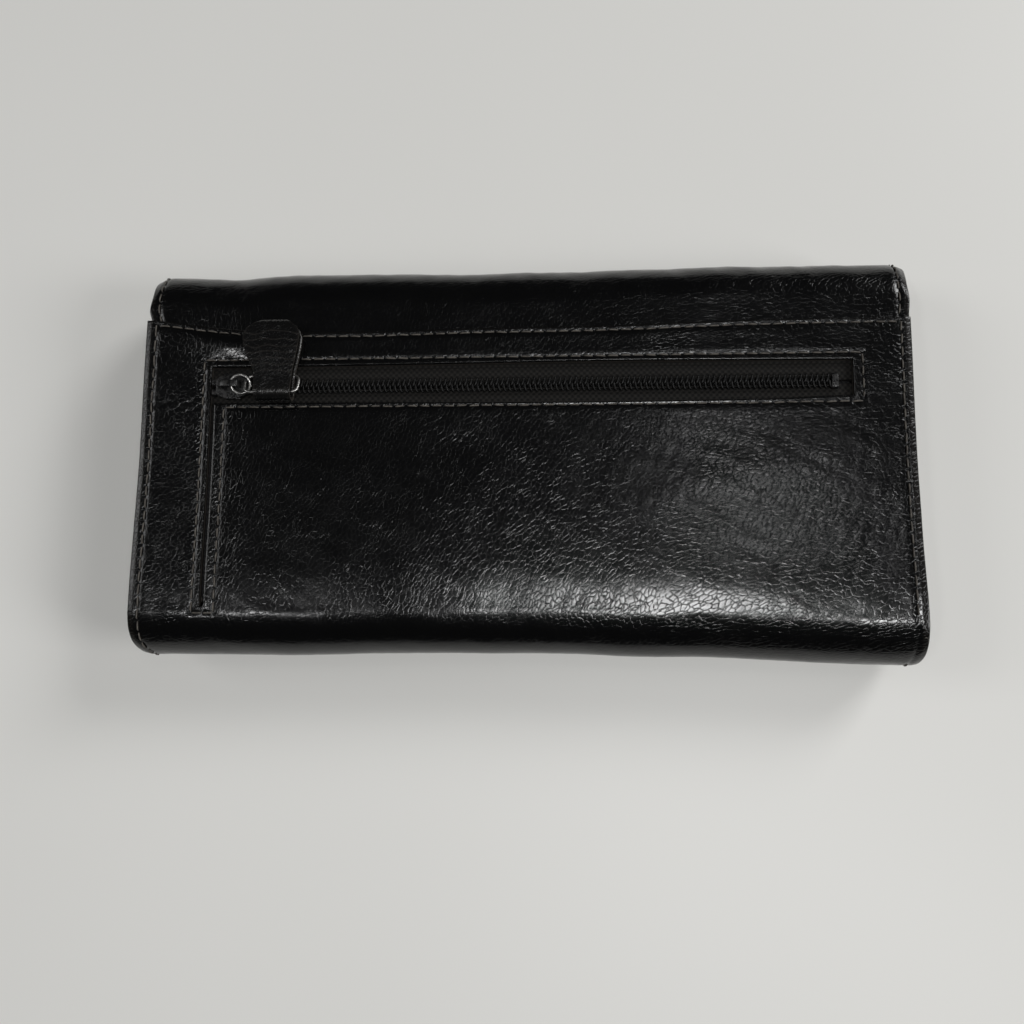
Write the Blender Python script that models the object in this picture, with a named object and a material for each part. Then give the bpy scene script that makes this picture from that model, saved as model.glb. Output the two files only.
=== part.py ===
"""Black leather flap wallet with a zip pocket and a slip pocket in its back panel.

Lengths are in millimetres and become metres when a mesh is made. X runs along
the wallet, Y across it towards the fold of the flap, Z up out of the back panel.
The closed wallet lies on the outer face of its flap, so that face is at Z = 0.
"""
import math

import bmesh
import bpy
from mathutils import Vector

MM = 0.001

# Overall body.
WIDTH = 187.6
HEIGHT = 97.5
THICKNESS = 23.5
LEATHER = 1.2
LINING = 0.6
SHEET = 0.3
BOARD = 0.4
GAP = 0.3
ARC_STEPS = 20
SHARP_ANGLE = 30.0

# Flap: its leather runs under the top edge of the back panel and folds round.
FLAP_WIDTH = 186.4
FLAP_TOP_Z = THICKNESS - LEATHER - GAP
FLAP_FOLD_RADIUS = FLAP_TOP_Z / 2.0
FLAP_FOLD_Y = HEIGHT / 2.0 - FLAP_FOLD_RADIUS
FLAP_EDGE_Y = -14.0
FLAP_CORNER = 11.0
ANCHOR_DEPTH = 9.2

# Leaves: back panel with the bottom fold, then the front leaf hinged to it.
BACK_TOP_Y = 31.5
FRONT_Z = LEATHER + GAP + LINING + 0.5
FOLD_RADIUS = (THICKNESS - FRONT_Z) / 2.0
FOLD_Z = FRONT_Z + FOLD_RADIUS
FOLD_Y = FOLD_RADIUS - HEIGHT / 2.0
FRONT_TOP_Y = 35.0
BACK_LINING_Z = 17.9
POCKET_LINING_Z = 19.9
FRONT_LINING_Z = FRONT_Z + LEATHER + GAP + LINING + GAP
LINING_WIDTH = 184.0
BOARD_WIDTH = 176.0
DIVIDER_Z = 10.7
DIVIDER_WIDTH = 181.6
DIVIDER_TOP_Y = 33.5
DIVIDER_BOTTOM_Y = -35.5
CARD_WIDTH = 163.0
CARD_STEPS = ((10.0, 22.0), (-4.0, 9.0), (-35.0, -5.0))

# Zip window and slit in the back panel.
WINDOW_LEFT = -76.6
WINDOW_RIGHT = 79.0
WINDOW_BOTTOM = 12.0
WINDOW_TOP = 21.4
SLIT_WIDTH = 0.8
SLIT_END_Y = -37.4

# Zip chain.
ZIP_Y = 16.3
ZIP_GAP = 0.8
TAPE_WIDTH = 11.2
TAPE_Z = 21.5
TAPE_THICKNESS = 0.5
COIL_Z = TAPE_Z + TAPE_THICKNESS + GAP
COIL_HEIGHT = 1.2
COIL_WIDTH = 1.8
COIL_PITCH = 1.27
COIL_LEFT = -74.9
COIL_TEETH = 117

# Slider, ring and wire loop.
SLIDER_X = -70.8
SLIDER_LENGTH = 8.0
SLIDER_WIDTH = 6.4
PLATE = 0.6
WIRE = 0.8
PULL_Z = 25.6
RING_X = -70.85
RING_HALF = (2.45, 2.25)
RING_ROLL = 20.0
LOOP_LEFT = -67.25
LOOP_RIGHT = -54.0
LOOP_HALF_WIDTH = 2.35
LOOP_CORNER = 1.6
LOOP_ROLL = -20.0
LOOP_HINGE = (-66.95, 25.35)
TAB_X = -60.0
TAB_THICKNESS = 1.8
TAB_EYE = 1.45
TAB_HOLE = 0.55

# Press stud.
STUD_Y = -4.0

# Colours: name, base colour, metallic, roughness.
MATERIALS = {
    "leather_black": ((0.012, 0.012, 0.013), 0.0, 0.34),
    "lining_black": ((0.020, 0.019, 0.021), 0.0, 0.85),
    "tape_black": ((0.016, 0.015, 0.016), 0.0, 0.90),
    "coil_black": ((0.018, 0.018, 0.018), 0.0, 0.42),
    "board_grey": ((0.200, 0.190, 0.175), 0.0, 0.90),
    "slider_black": ((0.020, 0.020, 0.022), 0.6, 0.38),
    "gunmetal": ((0.420, 0.415, 0.400), 1.0, 0.28),
}


def clear_scene():
    """Start from an empty scene."""
    for obj in list(bpy.data.objects):
        bpy.data.objects.remove(obj, do_unlink=True)


def make_collection(name):
    """New collection under the scene."""
    collection = bpy.data.collections.new(name)
    bpy.context.scene.collection.children.link(collection)
    return collection


def material(name):
    """Principled material from the table, made once."""
    found = bpy.data.materials.get(name)
    if found:
        return found
    colour, metallic, roughness = MATERIALS[name]
    made = bpy.data.materials.new(name)
    made.use_nodes = True
    shader = made.node_tree.nodes["Principled BSDF"]
    shader.inputs["Base Color"].default_value = (*colour, 1.0)
    shader.inputs["Metallic"].default_value = metallic
    shader.inputs["Roughness"].default_value = roughness
    return made


def add_body(name, y, z, x=0.0, parent=None):
    """Empty on a joint axis; the pieces that move with it hang from it."""
    empty = bpy.data.objects.new(name, None)
    empty.empty_display_size = 5.0 * MM
    PARTS.objects.link(empty)
    corner = Vector((x, y, z)) * MM
    empty.location = corner
    if parent:
        empty.parent = parent
        empty.location = corner - parent.matrix_world.translation
    bpy.context.view_layer.update()
    return empty


def place(obj, body):
    """Hang an object from a body without moving it."""
    if body:
        obj.parent = body
        obj.location -= body.matrix_world.translation


def ribbon(path, thickness):
    """Closed outline of a strip of even thickness along an open path."""
    points = [Vector(p) for p in path]
    normals = []
    for a, b in zip(points, points[1:]):
        step = (b - a).normalized()
        normals.append(Vector((-step.y, step.x)))
    normals = [normals[0]] + normals + [normals[-1]]
    one_side = []
    other_side = []
    for i, point in enumerate(points):
        before, after = normals[i], normals[i + 1]
        mitre = (before + after) * (thickness / 2.0 / (1.0 + before.dot(after)))
        one_side.append(tuple(point + mitre))
        other_side.append(tuple(point - mitre))
    return one_side + other_side[::-1]


def arc(centre, radius, start, end, steps=ARC_STEPS):
    """Points of an arc, angles in degrees."""
    points = []
    for i in range(steps + 1):
        angle = math.radians(start + (end - start) * i / steps)
        points.append((centre[0] + radius * math.cos(angle),
                       centre[1] + radius * math.sin(angle)))
    return points


def rectangle(left, right, bottom, top, low_corner=0.0, high_corner=0.0):
    """Rectangle outline, its low and high corners rounded when asked."""
    outline = []
    for x, y, start, radius in ((right, top, 0, high_corner), (left, top, 90, high_corner),
                                (left, bottom, 180, low_corner), (right, bottom, 270, low_corner)):
        if radius == 0.0:
            outline.append((x, y))
            continue
        centre = (x - math.copysign(radius, x - (left + right) / 2.0),
                  y - math.copysign(radius, y - (bottom + top) / 2.0))
        outline += arc(centre, radius, start, start + 90, 6)
    return outline


def turn(obj, facing, start, end):
    """Aim an object's local Z along an axis and centre it between two positions."""
    quarter = math.pi / 2.0
    middle = (start + end) / 2.0 * MM
    if facing == "X":
        obj.rotation_euler = (quarter, 0.0, quarter)
        obj.location.x += middle
    elif facing == "Y":
        obj.rotation_euler = (quarter, 0.0, 0.0)
        obj.location.y += middle
    else:
        obj.location.z += middle


def prism(name, outline, start, end, facing="Z"):
    """Solid between two positions along an axis, drawn as a filled flat outline.

    Facing X: outline is (Y, Z). Facing Y: outline is (X, Z). Facing Z: outline
    is (X, Y).
    """
    curve = bpy.data.curves.new(name, "CURVE")
    curve.dimensions = "2D"
    curve.fill_mode = "BOTH"
    curve.extrude = (end - start) / 2.0 * MM
    spline = curve.splines.new("POLY")
    spline.points.add(len(outline) - 1)
    for point, (u, v) in zip(spline.points, outline):
        point.co = (u * MM, v * MM, 0.0, 1.0)
    spline.use_cyclic_u = True
    drawn = bpy.data.objects.new(name + "_outline", curve)
    bpy.context.scene.collection.objects.link(drawn)
    turn(drawn, facing, start, end)
    depsgraph = bpy.context.evaluated_depsgraph_get()
    mesh = bpy.data.meshes.new_from_object(drawn.evaluated_get(depsgraph))
    bm = bmesh.new()
    bm.from_mesh(mesh)
    bmesh.ops.remove_doubles(bm, verts=bm.verts, dist=1e-6)
    bmesh.ops.recalc_face_normals(bm, faces=bm.faces)
    bm.to_mesh(mesh)
    bm.free()
    obj = bpy.data.objects.new(name, mesh)
    obj.matrix_world = drawn.matrix_world.copy()
    bpy.data.objects.remove(drawn, do_unlink=True)
    return obj


def block(name, low, high):
    """Box between two opposite corners."""
    bm = bmesh.new()
    bmesh.ops.create_cube(bm, size=1.0)
    size = Vector(high) - Vector(low)
    bmesh.ops.scale(bm, vec=size * MM, verts=bm.verts)
    mesh = bpy.data.meshes.new(name)
    bm.to_mesh(mesh)
    bm.free()
    obj = bpy.data.objects.new(name, mesh)
    obj.location = (Vector(low) + Vector(high)) * (MM / 2.0)
    return obj


def cylinder(name, centre, radius, start, end, facing="Z", sides=28):
    """Round bar between two positions along an axis."""
    bm = bmesh.new()
    bmesh.ops.create_cone(bm, cap_ends=True, segments=sides, radius1=radius * MM,
                          radius2=radius * MM, depth=(end - start) * MM)
    mesh = bpy.data.meshes.new(name)
    bm.to_mesh(mesh)
    bm.free()
    obj = bpy.data.objects.new(name, mesh)
    u, v = centre[0] * MM, centre[1] * MM
    obj.location = (0.0, u, v) if facing == "X" else (u, v, 0.0)
    turn(obj, facing, start, end)
    return obj


def finish(obj, body, slot):
    """Put a piece in the wallet's collection with its material and body."""
    PARTS.objects.link(obj)
    obj.data.materials.append(material(slot))
    obj.data.shade_smooth()
    obj.data.set_sharp_from_angle(angle=math.radians(SHARP_ANGLE))
    place(obj, body)
    return obj


def carve(target, cutter, operation="DIFFERENCE"):
    """Exact Boolean with a cutter kept out of the render."""
    CUTTERS.objects.link(cutter)
    cutter.hide_render = True
    cutter.display_type = "WIRE"
    modifier = target.modifiers.new(cutter.name, "BOOLEAN")
    modifier.object = cutter
    modifier.operation = operation
    modifier.solver = "EXACT"


def disc(name, bottom, top, radius):
    """Upright round disc at the press stud."""
    return cylinder(name, (0.0, STUD_Y), radius, bottom, top)


def sheet(name, width, bottom_y, top_y, z, thickness, body, slot):
    """Flat rectangular layer centred on the wallet."""
    obj = block(name, (-width / 2.0, bottom_y, z), (width / 2.0, top_y, z + thickness))
    return finish(obj, body, slot)


def wire_ring(name, outline, body, slot, roll, pivot):
    """Closed round wire through the outline, rolled about the wallet's long axis."""
    curve = bpy.data.curves.new(name, "CURVE")
    curve.dimensions = "3D"
    curve.bevel_depth = WIRE / 2.0 * MM
    curve.bevel_resolution = 2
    spline = curve.splines.new("POLY")
    spline.points.add(len(outline) - 1)
    for point, (u, v) in zip(spline.points, outline):
        point.co = ((u - pivot[0]) * MM, v * MM, 0.0, 1.0)
    spline.use_cyclic_u = True
    obj = bpy.data.objects.new(name, curve)
    obj.location = Vector((pivot[0], ZIP_Y, PULL_Z)) * MM
    obj.rotation_euler = (math.radians(roll), 0.0, 0.0)
    PARTS.objects.link(obj)
    curve.materials.append(material(slot))
    place(obj, body)
    return obj


def build_back_panel():
    """Back panel and bottom fold in one sheet, with the zip window and slit cut."""
    middle_z = THICKNESS - LEATHER / 2.0
    fold = arc((FOLD_Y, FOLD_Z), FOLD_RADIUS - LEATHER / 2.0, 90, 270)
    outline = ribbon([(BACK_TOP_Y, middle_z)] + fold, LEATHER)
    panel = finish(prism("back_panel", outline, -WIDTH / 2.0, WIDTH / 2.0, "X"),
                   None, "leather_black")
    below, above = THICKNESS - LEATHER - 1.0, THICKNESS + 1.0
    carve(panel, block("cut_window", (WINDOW_LEFT, WINDOW_BOTTOM, below),
                       (WINDOW_RIGHT, WINDOW_TOP, above)))
    carve(panel, block("cut_slit", (WINDOW_LEFT, SLIT_END_Y, below),
                       (WINDOW_LEFT + SLIT_WIDTH, WINDOW_BOTTOM + 2.0, above)))


def build_back_layers():
    """Layers sewn under the back panel, from the pockets down to the lining."""
    sheet("flap_anchor", FLAP_WIDTH, FLAP_FOLD_Y - GAP - ANCHOR_DEPTH, FLAP_FOLD_Y - GAP,
          FLAP_TOP_Z - LEATHER, LEATHER, None, "leather_black")
    tape_low = ZIP_Y - ZIP_GAP / 2.0 - TAPE_WIDTH
    finish(block("slip_pocket_lining", (-85.0, -35.0, TAPE_Z),
                 (72.0, tape_low - GAP, TAPE_Z + SHEET)), None, "lining_black")
    sheet("zip_pocket_lining_outer", 168.0, DIVIDER_BOTTOM_Y, ZIP_Y - 6.0,
          TAPE_Z - GAP - SHEET, SHEET, None, "lining_black")
    sheet("zip_pocket_lining_inner", 168.0, DIVIDER_BOTTOM_Y, 27.0,
          POCKET_LINING_Z, SHEET, None, "lining_black")
    sheet("back_stiffener", BOARD_WIDTH, DIVIDER_BOTTOM_Y - 1.0, 30.0,
          BACK_LINING_Z + LINING + GAP, 0.8, None, "board_grey")
    sheet("back_lining", LINING_WIDTH, FOLD_Y + GAP, DIVIDER_TOP_Y + 1.0,
          BACK_LINING_Z, LINING, None, "lining_black")
    top = BACK_LINING_Z + LINING
    bottom = FRONT_LINING_Z
    radius = (top - bottom - LINING) / 2.0
    fold = arc((FOLD_Y, (top + bottom) / 2.0), radius, 90, 270)
    finish(prism("bottom_lining", ribbon(fold, LINING), -LINING_WIDTH / 2.0,
                 LINING_WIDTH / 2.0, "X"), None, "lining_black")


def build_gussets():
    """Pleated side walls, each one strip folded round the edge of the divider."""
    pleats = [(91.0, 17.3), (83.0, 15.4), (91.0, 13.3), (91.9, 12.4),
              (91.9, 10.8), (91.0, 9.9), (83.0, 8.2), (91.0, 6.25)]
    for side, name in ((-1.0, "gusset_left"), (1.0, "gusset_right")):
        path = [(side * x, z) for x, z in pleats]
        finish(prism(name, ribbon(path, 0.5), DIVIDER_BOTTOM_Y - 2.0, DIVIDER_TOP_Y + 0.5, "Y"),
               None, "leather_black")


def build_zip_tapes():
    """Two tapes under the window, each with its row of coil teeth."""
    for side, name in ((1.0, "upper"), (-1.0, "lower")):
        inner = ZIP_Y + side * ZIP_GAP / 2.0
        outer = inner + side * TAPE_WIDTH
        finish(block("zip_tape_" + name, (-86.0, min(inner, outer), TAPE_Z),
                     (86.0, max(inner, outer), TAPE_Z + TAPE_THICKNESS)), None, "tape_black")
        back = inner + side * COIL_WIDTH
        root = inner + side * COIL_WIDTH / 3.0
        row = [(COIL_LEFT, back), (COIL_LEFT, root)]
        for i in range(COIL_TEETH):
            start = COIL_LEFT + (i + 0.25) * COIL_PITCH
            stop = start + COIL_PITCH * 0.55
            row += [(start, root), (start, inner), (stop, inner), (stop, root)]
        row += [(COIL_LEFT + COIL_TEETH * COIL_PITCH, root),
                (COIL_LEFT + COIL_TEETH * COIL_PITCH, back)]
        finish(prism("zip_coil_" + name, row, COIL_Z, COIL_Z + COIL_HEIGHT),
               None, "coil_black")


def build_zip_stops():
    """Two top stops beside the closed slider and one bottom stop at the far end."""
    for side, name in ((1.0, "zip_top_stop_upper"), (-1.0, "zip_top_stop_lower")):
        near = ZIP_Y + side * (ZIP_GAP / 2.0)
        far = near + side * COIL_WIDTH
        finish(block(name, (COIL_LEFT - 1.5, min(near, far), COIL_Z),
                     (COIL_LEFT - GAP, max(near, far), COIL_Z + COIL_HEIGHT)), None, "gunmetal")
    end = COIL_LEFT + COIL_TEETH * COIL_PITCH
    finish(block("zip_bottom_stop", (end + GAP, ZIP_Y - 1.9, COIL_Z),
                 (end + GAP + 1.6, ZIP_Y + 1.9, COIL_Z + COIL_HEIGHT)), None, "gunmetal")


def build_flap(roll, flap):
    """Folded flap leather on the roll body, flat flap leather on the flap body."""
    centre = (FLAP_FOLD_Y, FLAP_FOLD_RADIUS)
    half = FLAP_WIDTH / 2.0
    fold = arc(centre, FLAP_FOLD_RADIUS - LEATHER / 2.0, 90, -90)
    finish(prism("flap_roll", ribbon(fold, LEATHER), -half, half, "X"), roll, "leather_black")
    radius = FLAP_FOLD_RADIUS - LEATHER - GAP - LINING / 2.0
    finish(prism("flap_roll_lining", ribbon(arc(centre, radius, 90, -90), LINING),
                 1.0 - half, half - 1.0, "X"), roll, "lining_black")
    outline = rectangle(-half, half, FLAP_EDGE_Y, FLAP_FOLD_Y - GAP, FLAP_CORNER)
    finish(prism("flap_panel", outline, 0.0, LEATHER), flap, "leather_black")
    outline = rectangle(1.0 - half, half - 1.0, FLAP_EDGE_Y + 1.0, FLAP_FOLD_Y - GAP,
                        FLAP_CORNER - 1.0)
    lining_z = LEATHER + GAP
    lining = finish(prism("flap_lining", outline, lining_z, lining_z + LINING),
                    flap, "lining_black")
    carve(lining, disc("cut_socket", 1.35, 3.0, 5.4))
    socket = finish(disc("snap_socket", lining_z, lining_z + 0.8, 5.0), flap, "gunmetal")
    carve(socket, disc("cut_socket_bore", 1.0, 3.0, 2.4))


def build_front_leaf(front):
    """Front leaf: leather, board, lining, card pockets and the stud."""
    panel = sheet("front_panel", WIDTH, FOLD_Y + GAP, FRONT_TOP_Y, FRONT_Z, LEATHER,
                  front, "leather_black")
    carve(panel, disc("cut_stud", FRONT_Z - 1.0, FRONT_Z + 1.35, 4.6))
    board_z = FRONT_Z + LEATHER + GAP
    board = sheet("front_stiffener", BOARD_WIDTH, DIVIDER_BOTTOM_Y - 1.0, FRONT_TOP_Y - 2.0,
                  board_z, LINING, front, "board_grey")
    carve(board, disc("cut_washer", board_z - 0.1, board_z + 0.7, 4.6))
    finish(disc("snap_stud_washer", board_z, board_z + 0.5, 4.2), front, "gunmetal")
    stud = finish(disc("snap_stud", FRONT_Z + 0.1, FRONT_Z + LEATHER, 4.2),
                  front, "gunmetal")
    carve(stud, disc("join_stud_post", FRONT_Z - 1.0, FRONT_Z + 0.6, 1.9), "UNION")
    sheet("front_lining", LINING_WIDTH, FOLD_Y + GAP, FRONT_TOP_Y, FRONT_LINING_Z,
          LINING, front, "lining_black")
    for i, (low, high) in enumerate(CARD_STEPS):
        sheet("front_card_pocket_%d" % (i + 1), CARD_WIDTH, low, high,
              FRONT_LINING_Z + LINING + GAP, BOARD, front, "leather_black")


def build_divider(divider):
    """Middle leaf: a board between two linings, card pockets on its back side."""
    z = DIVIDER_Z
    sheet("divider_lining_front", DIVIDER_WIDTH, DIVIDER_BOTTOM_Y, DIVIDER_TOP_Y,
          z, BOARD, divider, "lining_black")
    z += BOARD + GAP
    sheet("divider_board", BOARD_WIDTH, DIVIDER_BOTTOM_Y + 1.0, DIVIDER_TOP_Y - 1.0,
          z, BOARD, divider, "board_grey")
    z += BOARD + GAP
    sheet("divider_lining_back", DIVIDER_WIDTH, DIVIDER_BOTTOM_Y, DIVIDER_TOP_Y,
          z, BOARD, divider, "lining_black")
    z += BOARD + GAP
    for i, (low, high) in enumerate(CARD_STEPS):
        sheet("divider_card_pocket_%d" % (i + 1), CARD_WIDTH, low, high,
              z, BOARD, divider, "leather_black")


def build_slider(slider):
    """Slider: two plates joined by a web between the teeth, and the bridge."""
    top = PULL_Z - 1.25
    low = TAPE_Z - GAP
    half = SLIDER_WIDTH / 2.0
    left = SLIDER_X - SLIDER_LENGTH / 2.0
    right = SLIDER_X + SLIDER_LENGTH / 2.0
    body = block("slider_body", (left, ZIP_Y - half, top - PLATE), (right, ZIP_Y + half, top))
    finish(body, slider, "slider_black")
    carve(body, block("join_web", (left + 0.5, ZIP_Y - 0.25, low - PLATE / 2.0),
                      (right - 0.5, ZIP_Y + 0.25, top - PLATE / 2.0)), "UNION")
    carve(body, block("join_under_plate", (left + 0.2, ZIP_Y - half, low - PLATE),
                      (right - 0.2, ZIP_Y + half, low)), "UNION")
    wide = half + 0.4
    edge = [(left - 0.5, 1.9), (left + 2.0, wide), (right - 3.8, wide), (right + 0.5, 1.8)]
    plan = [(x, ZIP_Y - y) for x, y in edge] + [(x, ZIP_Y + y) for x, y in edge[::-1]]
    carve(body, prism("trim_slider", plan, low - 2.0, top + 4.0), "INTERSECT")
    crown = top + 2.45
    bridge = [(-2.9, top - 0.2), (-2.9, crown - 0.9), (-2.2, crown), (1.2, crown),
              (1.9, crown - 0.9), (1.9, top - 0.2)]
    path = [(SLIDER_X + x, z) for x, z in bridge]
    carve(body, prism("join_bridge", ribbon(path, PLATE), ZIP_Y - 0.8, ZIP_Y + 0.8, "Y"),
          "UNION")


def build_rings(ring, loop):
    """Oval ring through the bridge, and the wire loop linked through the ring."""
    half_x, half_y = RING_HALF
    centre = RING_X + half_x
    oval = []
    for i in range(20):
        angle = math.tau * i / 20
        oval.append((centre + half_x * math.cos(angle), half_y * math.sin(angle)))
    wire_ring("pull_ring", oval, ring, "gunmetal", RING_ROLL, (RING_X, 0.0))
    w = LOOP_HALF_WIDTH
    outline = rectangle(LOOP_LEFT, LOOP_RIGHT, -w, w, LOOP_CORNER, LOOP_CORNER)
    wire_ring("pull_loop", outline, loop, "gunmetal", LOOP_ROLL, (LOOP_HINGE[0], 0.0))


def build_tab(tab, bar):
    """Leather tab folded round the near bar of the wire loop."""
    y, z = bar
    strap = ribbon([(y + 0.9, z), (y + 4.7, z - 0.05), (y + 19.0, z - 1.7)], TAB_THICKNESS)
    obj = finish(prism("pull_tab", strap, -70.0, -52.0, "X"), tab, "leather_black")
    carve(obj, cylinder("join_eye", (y, z), TAB_EYE, -70.0, -52.0, "X"), "UNION")
    carve(obj, cylinder("cut_eye", (y, z), TAB_HOLE, -71.0, -51.0, "X", 16))
    edge = [(-4.0, -5.0), (4.0, -5.0), (4.0, 2.8), (5.0, 6.0), (5.8, 9.2), (6.1, 12.6),
            (5.1, 14.7), (2.6, 15.8), (-1.4, 16.0), (-5.3, 15.6), (-7.4, 14.3), (-8.1, 12.0),
            (-7.7, 9.4), (-6.2, 5.8), (-4.4, 2.6)]
    plan = [(TAB_X + x, ZIP_Y + v) for x, v in edge]
    carve(obj, prism("trim_tab", plan, 20.0, 32.0), "INTERSECT")


def build_wallet():
    """Every piece, the fixed leaf first and then each moving body."""
    roll = add_body("body_flap_roll", FLAP_FOLD_Y, FLAP_TOP_Z)
    flap = add_body("body_flap", FLAP_FOLD_Y, 0.0, parent=roll)
    front = add_body("body_front", FOLD_Y, FRONT_Z)
    divider = add_body("body_divider", FOLD_Y, FRONT_Z)
    slider = add_body("body_slider", ZIP_Y, PULL_Z, x=SLIDER_X)
    ring = add_body("body_ring", ZIP_Y, PULL_Z, x=RING_X, parent=slider)
    loop = add_body("body_loop", ZIP_Y, LOOP_HINGE[1], x=LOOP_HINGE[0], parent=ring)
    angle = math.radians(LOOP_ROLL)
    bar = (ZIP_Y - LOOP_HALF_WIDTH * math.cos(angle), PULL_Z - LOOP_HALF_WIDTH * math.sin(angle))
    tab = add_body("body_tab", bar[0], bar[1], x=LOOP_HINGE[0], parent=loop)
    build_back_panel()
    build_back_layers()
    build_gussets()
    build_zip_tapes()
    build_zip_stops()
    build_flap(roll, flap)
    build_front_leaf(front)
    build_divider(divider)
    build_slider(slider)
    build_rings(ring, loop)
    build_tab(tab, bar)


clear_scene()
PARTS = make_collection("flap_wallet")
CUTTERS = make_collection("cutters")
build_wallet()
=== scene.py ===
"""Looks of the black flap wallet: leather, seams, zip, linings, stage, lights and camera.

Lengths are in millimetres and become metres when a mesh is made. Each sheet is a
profile in Y and Z swept along X, with a height field laid over it. A place on a
sheet is X and V, where V runs along the profile and equals Y on the back panel.
"""
import math

import bpy
import numpy as np
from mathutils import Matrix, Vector


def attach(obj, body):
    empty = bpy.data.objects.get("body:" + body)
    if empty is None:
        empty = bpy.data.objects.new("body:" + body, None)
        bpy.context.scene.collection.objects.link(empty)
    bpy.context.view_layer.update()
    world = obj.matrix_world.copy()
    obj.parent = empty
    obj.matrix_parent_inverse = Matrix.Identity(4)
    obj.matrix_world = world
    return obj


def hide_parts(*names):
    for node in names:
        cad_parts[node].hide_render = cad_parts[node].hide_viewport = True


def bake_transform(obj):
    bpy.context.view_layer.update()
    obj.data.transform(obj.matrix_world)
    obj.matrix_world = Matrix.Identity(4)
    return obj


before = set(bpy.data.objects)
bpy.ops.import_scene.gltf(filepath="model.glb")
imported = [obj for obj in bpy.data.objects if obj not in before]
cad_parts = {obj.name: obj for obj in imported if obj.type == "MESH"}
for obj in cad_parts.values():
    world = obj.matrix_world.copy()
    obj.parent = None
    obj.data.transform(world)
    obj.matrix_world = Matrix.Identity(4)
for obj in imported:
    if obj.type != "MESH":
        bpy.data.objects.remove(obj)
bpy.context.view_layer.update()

MM = 0.001
TAU = math.tau
UP = np.array([0.0, 0.0, 1.0])

# Outer leather: back panel, bottom fold and front panel in one sheet.
HALF = 93.8
LEATHER = 1.2
FOLD_R = 10.45
FOLD_Y = -38.3
FOLD_Z = 13.05
BACK_TOP = 31.5
FRONT_TOP = 35.0
FOLD_END = FOLD_Y - math.pi * FOLD_R
FRONT_END = FOLD_END - (FRONT_TOP - FOLD_Y)

# Flap leather: sewn strip, roll and flat flap, in two meshes that meet at SPLIT.
FLAP_HALF = 93.2
CORNER = 11.0
FLAP_R = 11.0
FLAP_Y = 37.75
FLAP_EDGE_Y = -14.0
ANCHOR = 9.2
ROLL_END = ANCHOR + math.pi * FLAP_R
SPLIT = ANCHOR + 0.75 * math.pi * FLAP_R
FLAP_END = ROLL_END + FLAP_Y - FLAP_EDGE_Y

# Flap lining, and the press stud through the flap.
LINING_HALF = 92.1
LINING_R = 9.5
STUD_Y = -4.0

# Window and slit in the back panel, as left, low, right and top.
WINDOW = (-76.6, 12.0, 79.0, 21.4)
SLIT = (-76.6, -37.4, -75.8, 13.0)

# Seams: stitch pitch, thread radius, distance from a free edge, then their lines.
PITCH = 3.0
THREAD = 0.19
HEM = 1.8
SIDE_SEAM = 91.2
SIDE_SEAM_TOP = 30.6
CROSS_SEAM_END = SIDE_SEAM - 0.6
TOP_SEAM_V = 30.2
FRONT_SEAM_V = FRONT_END + HEM
SEAM_LEFT = -78.5
SEAM_RIGHT = 81.3
SEAM_LOW = 11.0
SEAM_HIGH = 23.1
SLIT_SEAM = -73.1
SLIT_SEAM_END = -39.2
FLAP_SEAM = 90.8
FLAP_SEAM_START = 4.2

# Card pockets: half width, and the low and high edge of each.
CARD_HALF = 81.5
CARD_STEPS = ((10.0, 22.0), (-4.0, 9.0), (-35.0, -5.0))
CARD_HEM = 2.4

# Zip chain: the tapes' near and far edges are measured from the zip's middle.
SIDES = ((1.0, "upper"), (-1.0, "lower"))
ZIP_Y = 16.3
TAPE_HALF = 86.0
TAPE_NEAR = 0.4
TAPE_FAR = 11.6
TAPE_TOP = 22.0
COIL_PITCH = 1.27
COIL_LEFT = -74.9
COIL_TEETH = 117
COIL_RIGHT = COIL_LEFT + COIL_TEETH * COIL_PITCH
STOP_LOW = 22.2
STOP_HIGH = 23.5

# Slider, ring and loop: the ring and the loop are turned by degrees about X.
SLIDER_X = -70.8
PULL_Z = 25.6
WIRE_R = 0.40
RING_X = -68.4
RING_HALF = (2.45, 2.25)
RING_ROLL = 20.0
LOOP_LEFT = -67.25
LOOP_RIGHT = -54.0
LOOP_HALF = 2.35
LOOP_CORNER = 1.6
LOOP_ROLL = -20.0

# Tab: a folded strip, whose left and right edges are given at knots ahead of the zip.
TAB_X = -60.0
TAB_REACH = 18.0
TAB_SEWN = 15.3
TAB_THICKNESS = 0.86
TAB_EYE = 1.42
TAB_TURN = np.radians(np.linspace(-78.0, -282.0, 17))
TAB_SEAM = 1.25
TAB_KNOTS = (-4.0, 2.6, 6.0, 9.4, 12.2, 14.2, 15.3, 15.9)
TAB_LEFT = (-4.2, -4.6, -6.3, -7.7, -8.1, -7.2, -5.2, -1.8)
TAB_RIGHT = (4.7, 4.9, 5.5, 5.9, 6.0, 5.3, 3.6, 1.2)
TAB_GROOVES = ((2.4, 0.16), (4.1, 0.14), (5.7, 0.18), (7.3, 0.15), (8.9, 0.17), (10.6, 0.13),
               (12.4, 0.10))

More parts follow.
